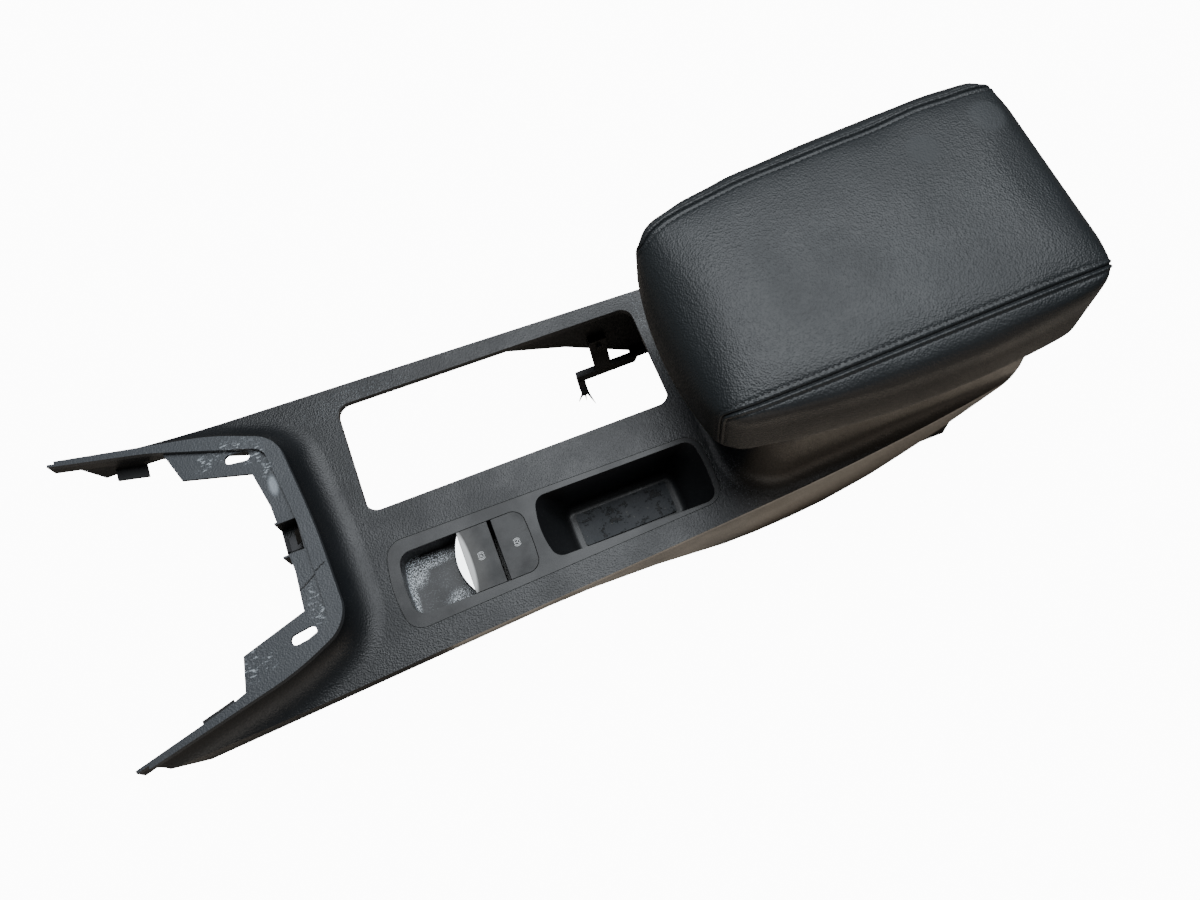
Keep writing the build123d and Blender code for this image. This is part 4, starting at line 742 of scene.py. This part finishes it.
def build_cushion(tree):
    """Box-topology grid whose lines run along the seams, dropped onto the cushion."""
    half = y_lines()
    lines = [(-1, line) for line in half[:0:-1]] + [(1, line) for line in half]
    xs = spaced(PAD_LOW.x - GRID_SPILL, PAD_HIGH.x + GRID_SPILL, GRID)
    levels = spaced(0.0, 1.0, GRID / SIDE_HEIGHT)
    verts, faces, offsets = [], [], []
    index = {}

    def vertex(key, point, offset):
        """Number of the vertex at a grid corner, which is made when first asked for."""
        if key not in index:
            index[key] = len(verts)
            verts.append(surface_point(tree, point))
            offsets.append(offset)
        return index[key]

    def corner(i, j, k):
        """Grid corner: i along X, j across, k up."""
        x = xs[i]
        side, line = lines[j]
        y = side * line_y(side, line, x)
        top = top_at(x) + GRID_RISE
        z = PAD_LOW.z + RIM_LIFT + levels[k] * (top - PAD_LOW.z - RIM_LIFT)
        edge = line_y(side, line, x) - seam_at(side, x)
        return vertex((i, j, k), Vector((x, y, z)), edge)

    last_i, last_j, last_k = len(xs) - 1, len(lines) - 1, len(levels) - 1
    for i in range(last_i):
        for j in range(last_j):
            faces.append([corner(i, j, last_k), corner(i + 1, j, last_k), corner(i + 1, j + 1, last_k),
                          corner(i, j + 1, last_k)])
    for k in range(last_k):
        for j in range(last_j):
            faces.append([corner(0, j, k), corner(0, j, k + 1), corner(0, j + 1, k + 1), corner(0, j + 1, k)])
            faces.append([corner(last_i, j, k), corner(last_i, j + 1, k), corner(last_i, j + 1, k + 1),
                          corner(last_i, j, k + 1)])
        for i in range(last_i):
            faces.append([corner(i, 0, k), corner(i + 1, 0, k), corner(i + 1, 0, k + 1), corner(i, 0, k + 1)])
            faces.append([corner(i, last_j, k), corner(i, last_j, k + 1), corner(i + 1, last_j, k + 1),
                          corner(i + 1, last_j, k)])
    rim = [corner(i, 0, 0) for i in range(last_i)] + [corner(last_i, j, 0) for j in range(last_j)]
    rim += [corner(i, last_j, 0) for i in range(last_i, 0, -1)]
    rim += [corner(0, j, 0) for j in range(last_j, 0, -1)]
    seams = []
    for side in (-1, 1):
        for offset in (-STITCH_ROW, STITCH_ROW):
            j = lines.index((side, ("seam", offset)))
            path = [corner(0, j, k) for k in range(last_k)]
            path += [corner(i, j, last_k) for i in range(last_i + 1)]
            path += [corner(last_i, j, k) for k in range(last_k - 1, -1, -1)]
            seams.append(path)
    return verts, faces, offsets, rim, seams


def make_object(name, verts, faces, look, body):
    mesh = bpy.data.meshes.new(name)
    mesh.from_pydata(verts, [], faces)
    mesh.validate()
    made = bpy.data.objects.new(name, mesh)
    bpy.context.scene.collection.objects.link(made)
    mesh.materials.append(look.material)
    mesh.polygons.foreach_set("use_smooth", [True] * len(mesh.polygons))
    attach(made, body)
    return made


def groove(offset_mm):
    """Relief across a seam: a sharp groove between two soft rolls, then a stitched dimple on each side."""
    gap = abs(offset_mm)
    roll = ROLL_OUTSIDE if offset_mm > 0 else ROLL_INSIDE
    sunk = GROOVE_DEPTH * math.exp(-((gap / GROOVE_WIDTH) ** 2))
    raised = roll * math.exp(-(((gap - ROLL_AT) / ROLL_WIDTH) ** 2))
    dimple = DIMPLE_DEPTH * math.exp(-(((gap - STITCH_ROW) / DIMPLE_WIDTH) ** 2))
    return (-sunk + raised - dimple) * MM


def relaxed(edit, fixed, rounds):
    """Smooth the surface along its normals alone, so that the grid lines stay where they are."""
    edges = np.array([[v.index for v in edge.verts] for edge in edit.edges])
    free = np.array([v.index not in fixed for v in edit.verts])
    for _ in range(rounds):
        edit.normal_update()
        spots = np.array([v.co for v in edit.verts])
        normals = np.array([v.normal for v in edit.verts])
        total = np.zeros_like(spots)
        count = np.zeros(len(spots))
        weights = 1.0 / np.maximum(np.linalg.norm(spots[edges[:, 0]] - spots[edges[:, 1]], axis=1), 1e-6)
        for a, b in ((0, 1), (1, 0)):
            np.add.at(total, edges[:, a], spots[edges[:, b]] * weights[:, None])
            np.add.at(count, edges[:, a], weights)
        pull = total / count[:, None] - spots
        along = (pull * normals).sum(axis=1) * 0.5 * free
        for vertex, step in zip(edit.verts, along[:, None] * normals):
            vertex.co += Vector(step)


def tuck_under(edit):
    """Turn the cover's lower edge in."""
    low = PAD_LOW.z + TUCK
    for vertex in edit.verts:
        if vertex.co.z < low:
            sink = min(1.0, (low - vertex.co.z) / TUCK)
            inward = Vector((vertex.normal.x, vertex.normal.y, 0))
            if inward.length > 0:
                vertex.co -= inward.normalized() * (1 - math.sqrt(1 - sink**2 * 0.98)) * TUCK_IN


def press_seams(edit, offsets):
    """Sink the grooves and raise the rolls beside them, above the tucked edge."""
    moves = [(v, v.normal.copy() * groove(offsets[v.index] / MM)) for v in edit.verts]
    for vertex, move in moves:
        if vertex.co.z > PAD_LOW.z + TUCK:
            vertex.co += move


def add_lining(edit, rim, hull):
    """Inner lining: under the rim, up beside the pan and across above it."""
    ring_low, ring_high = [], []
    outer = [edit.verts[n] for n in rim]
    for edge in outer:
        inner = inner_point(edge.co, PAD_LOW.z + LINING_RAY_RISE)
        way = Vector((edge.co.x - inner.x, edge.co.y - inner.y, 0)).normalized()
        hit = hull.ray_cast(inner, way)
        wall = hit[0] if hit[0] is not None else edge.co
        ring_low.append(edit.verts.new((wall.x, wall.y, PAD_LOW.z)))
        ring_high.append(edit.verts.new((wall.x, wall.y, PAD_LOW.z + LINING_RISE)))
    middle = (PAD_LOW + PAD_HIGH) / 2
    centre = edit.verts.new((middle.x, middle.y, PAD_LOW.z + LINING_RISE))
    for a in range(len(rim)):
        b = (a + 1) % len(rim)
        edit.faces.new((outer[a], outer[b], ring_low[b], ring_low[a]))
        edit.faces.new((ring_low[a], ring_low[b], ring_high[b], ring_high[a]))
        edit.faces.new((ring_high[a], ring_high[b], centre))


def cushion():
    """Cushion with its pressed seams, and the paths of its rows of stitches."""
    cad = NODES["armrest_pad"]
    verts, faces, offsets, rim, seams = build_cushion(padded_form(cad))
    mesh = bpy.data.meshes.new("armrest_cushion")
    mesh.from_pydata(verts, [], faces)
    edit = bmesh.new()
    edit.from_mesh(mesh)
    edit.verts.ensure_lookup_table()
    relaxed(edit, set(rim), RELAX_ROUNDS)
    edit.normal_update()
    tuck_under(edit)
    edit.normal_update()
    press_seams(edit, offsets)
    edit.normal_update()
    paths = [[(edit.verts[n].co.copy(), edit.verts[n].normal.copy()) for n in path] for path in seams]
    add_lining(edit, rim, bvh_of(cad.data))
    bmesh.ops.recalc_face_normals(edit, faces=edit.faces)
    for face in edit.faces:
        face.smooth = True
    edit.to_mesh(mesh)
    edit.free()
    made = bpy.data.objects.new("armrest_cushion", mesh)
    bpy.context.scene.collection.objects.link(made)
    return made, paths


def along_path(station, steps, values):
    """Point or normal at a distance along a path."""
    return Vector([np.interp(station, steps, values[:, axis]) for axis in range(3)])


def stitches(name, paths, look):
    """Short threads laid along each path, with both ends sunk into the leather."""
    verts, faces = [], []
    ring = THREAD_SIDES
    for path in paths:
        points = np.array([p[0] for p in path])
        normals = np.array([p[1] for p in path])
        steps = np.concatenate([[0], np.cumsum(np.linalg.norm(np.diff(points, axis=0), axis=1))])
        count = int((steps[-1] - 2 * STITCH_MARGIN) / STITCH_PITCH)
        for n in range(count):
            begin = STITCH_MARGIN + n * STITCH_PITCH
            stations = [begin + STITCH_LENGTH * share for share in THREAD_STATIONS]
            first = len(verts)
            for station, size, lift in zip(stations, THREAD_SIZES, THREAD_LIFTS):
                at = along_path(station, steps, points)
                up = along_path(station, steps, normals).normalized()
                along = (along_path(station + LOOK_AHEAD, steps, points) - at).normalized()
                across = along.cross(up).normalized()
                middle = at + up * lift * THREAD_RADIUS
                for m in range(ring):
                    angle = 2 * math.pi * m / ring
                    turn = across * math.cos(angle) + up * math.sin(angle)
                    verts.append(middle + turn * THREAD_RADIUS * size)
            for s in range(len(stations) - 1):
                for m in range(ring):
                    a = first + s * ring + m
                    b = first + s * ring + (m + 1) % ring
                    faces.append((a, b, b + ring, a + ring))
            faces.append(tuple(first + m for m in range(ring - 1, -1, -1)))
            faces.append(tuple(first + (len(stations) - 1) * ring + m for m in range(ring)))
    return make_object(name, verts, faces, look, "armrest")


def add_armrest():
    leather = leather_look()
    thread = smooth_plastic("stitch_thread", (0.010, 0.011, 0.013), 0.7)
    pad, seam_paths = cushion()
    pad.data.materials.append(leather.material)
    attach(pad, "armrest")
    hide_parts("armrest_pad")
    threads = stitches("armrest_stitches", seam_paths, thread)


def add_floor():
    """Pale floor. Its glow, for the white round the cut-out photograph, lights the floor alone."""
    mesh = bpy.data.meshes.new("floor")
    corners = [(-FLOOR_REACH, -FLOOR_REACH, 0), (FLOOR_REACH, -FLOOR_REACH, 0), (FLOOR_REACH, FLOOR_REACH, 0),
               (-FLOOR_REACH, FLOOR_REACH, 0)]
    mesh.from_pydata(corners, [], [(0, 1, 2, 3)])
    floor = bpy.data.objects.new("floor", mesh)
    bpy.context.scene.collection.objects.link(floor)
    look = Look("floor_white", (0.34, 0.29, 0.24), 0.9)
    look.shader.inputs["Emission Color"].default_value = (1, 1, 1, 1)
    look.shader.inputs["Emission Strength"].default_value = FLOOR_GLOW
    mesh.materials.append(look.material)
    glow = bpy.data.collections.new("floor_glow")
    glow.objects.link(floor)
    floor.light_linking.receiver_collection = glow


def add_world():
    world = bpy.data.worlds.new("world")
    world.use_nodes = True
    background = world.node_tree.nodes["Background"]
    background.inputs["Color"].default_value = (0.93, 0.96, 1.0, 1)
    background.inputs["Strength"].default_value = WORLD_STRENGTH
    bpy.context.scene.world = world


def add_lights():
    """Cool key light from above, and warm light thrown back by the ground on the near side."""
    add_light("key", (0.32, 0.55, 1.75), (0.12, 0.1, 0.1), (1.75, 1.2), 40.0, (0.92, 0.96, 1.0))
    add_light("bounce", (0.30, -1.0, 0.02), (0.2, 0.0, 0.08), (0.9, 0.12), 0.55, (1.0, 0.80, 0.62))
    add_light("fill", (-0.25, -1.5, 0.40), (0.1, 0.0, 0.08), (1.4, 0.5), 4.0, (1.0, 0.94, 0.87))
    ground = add_light("ground", (0.16, -0.142, 0.004), (0.16, -0.142, 1.0), (0.62, 0.056), 0.110,
                       (1.0, 0.86, 0.70))
    ground.visible_camera = False


dress_hard_parts()
add_symbols()
add_armrest()
add_floor()
add_world()
add_lights()
add_camera()
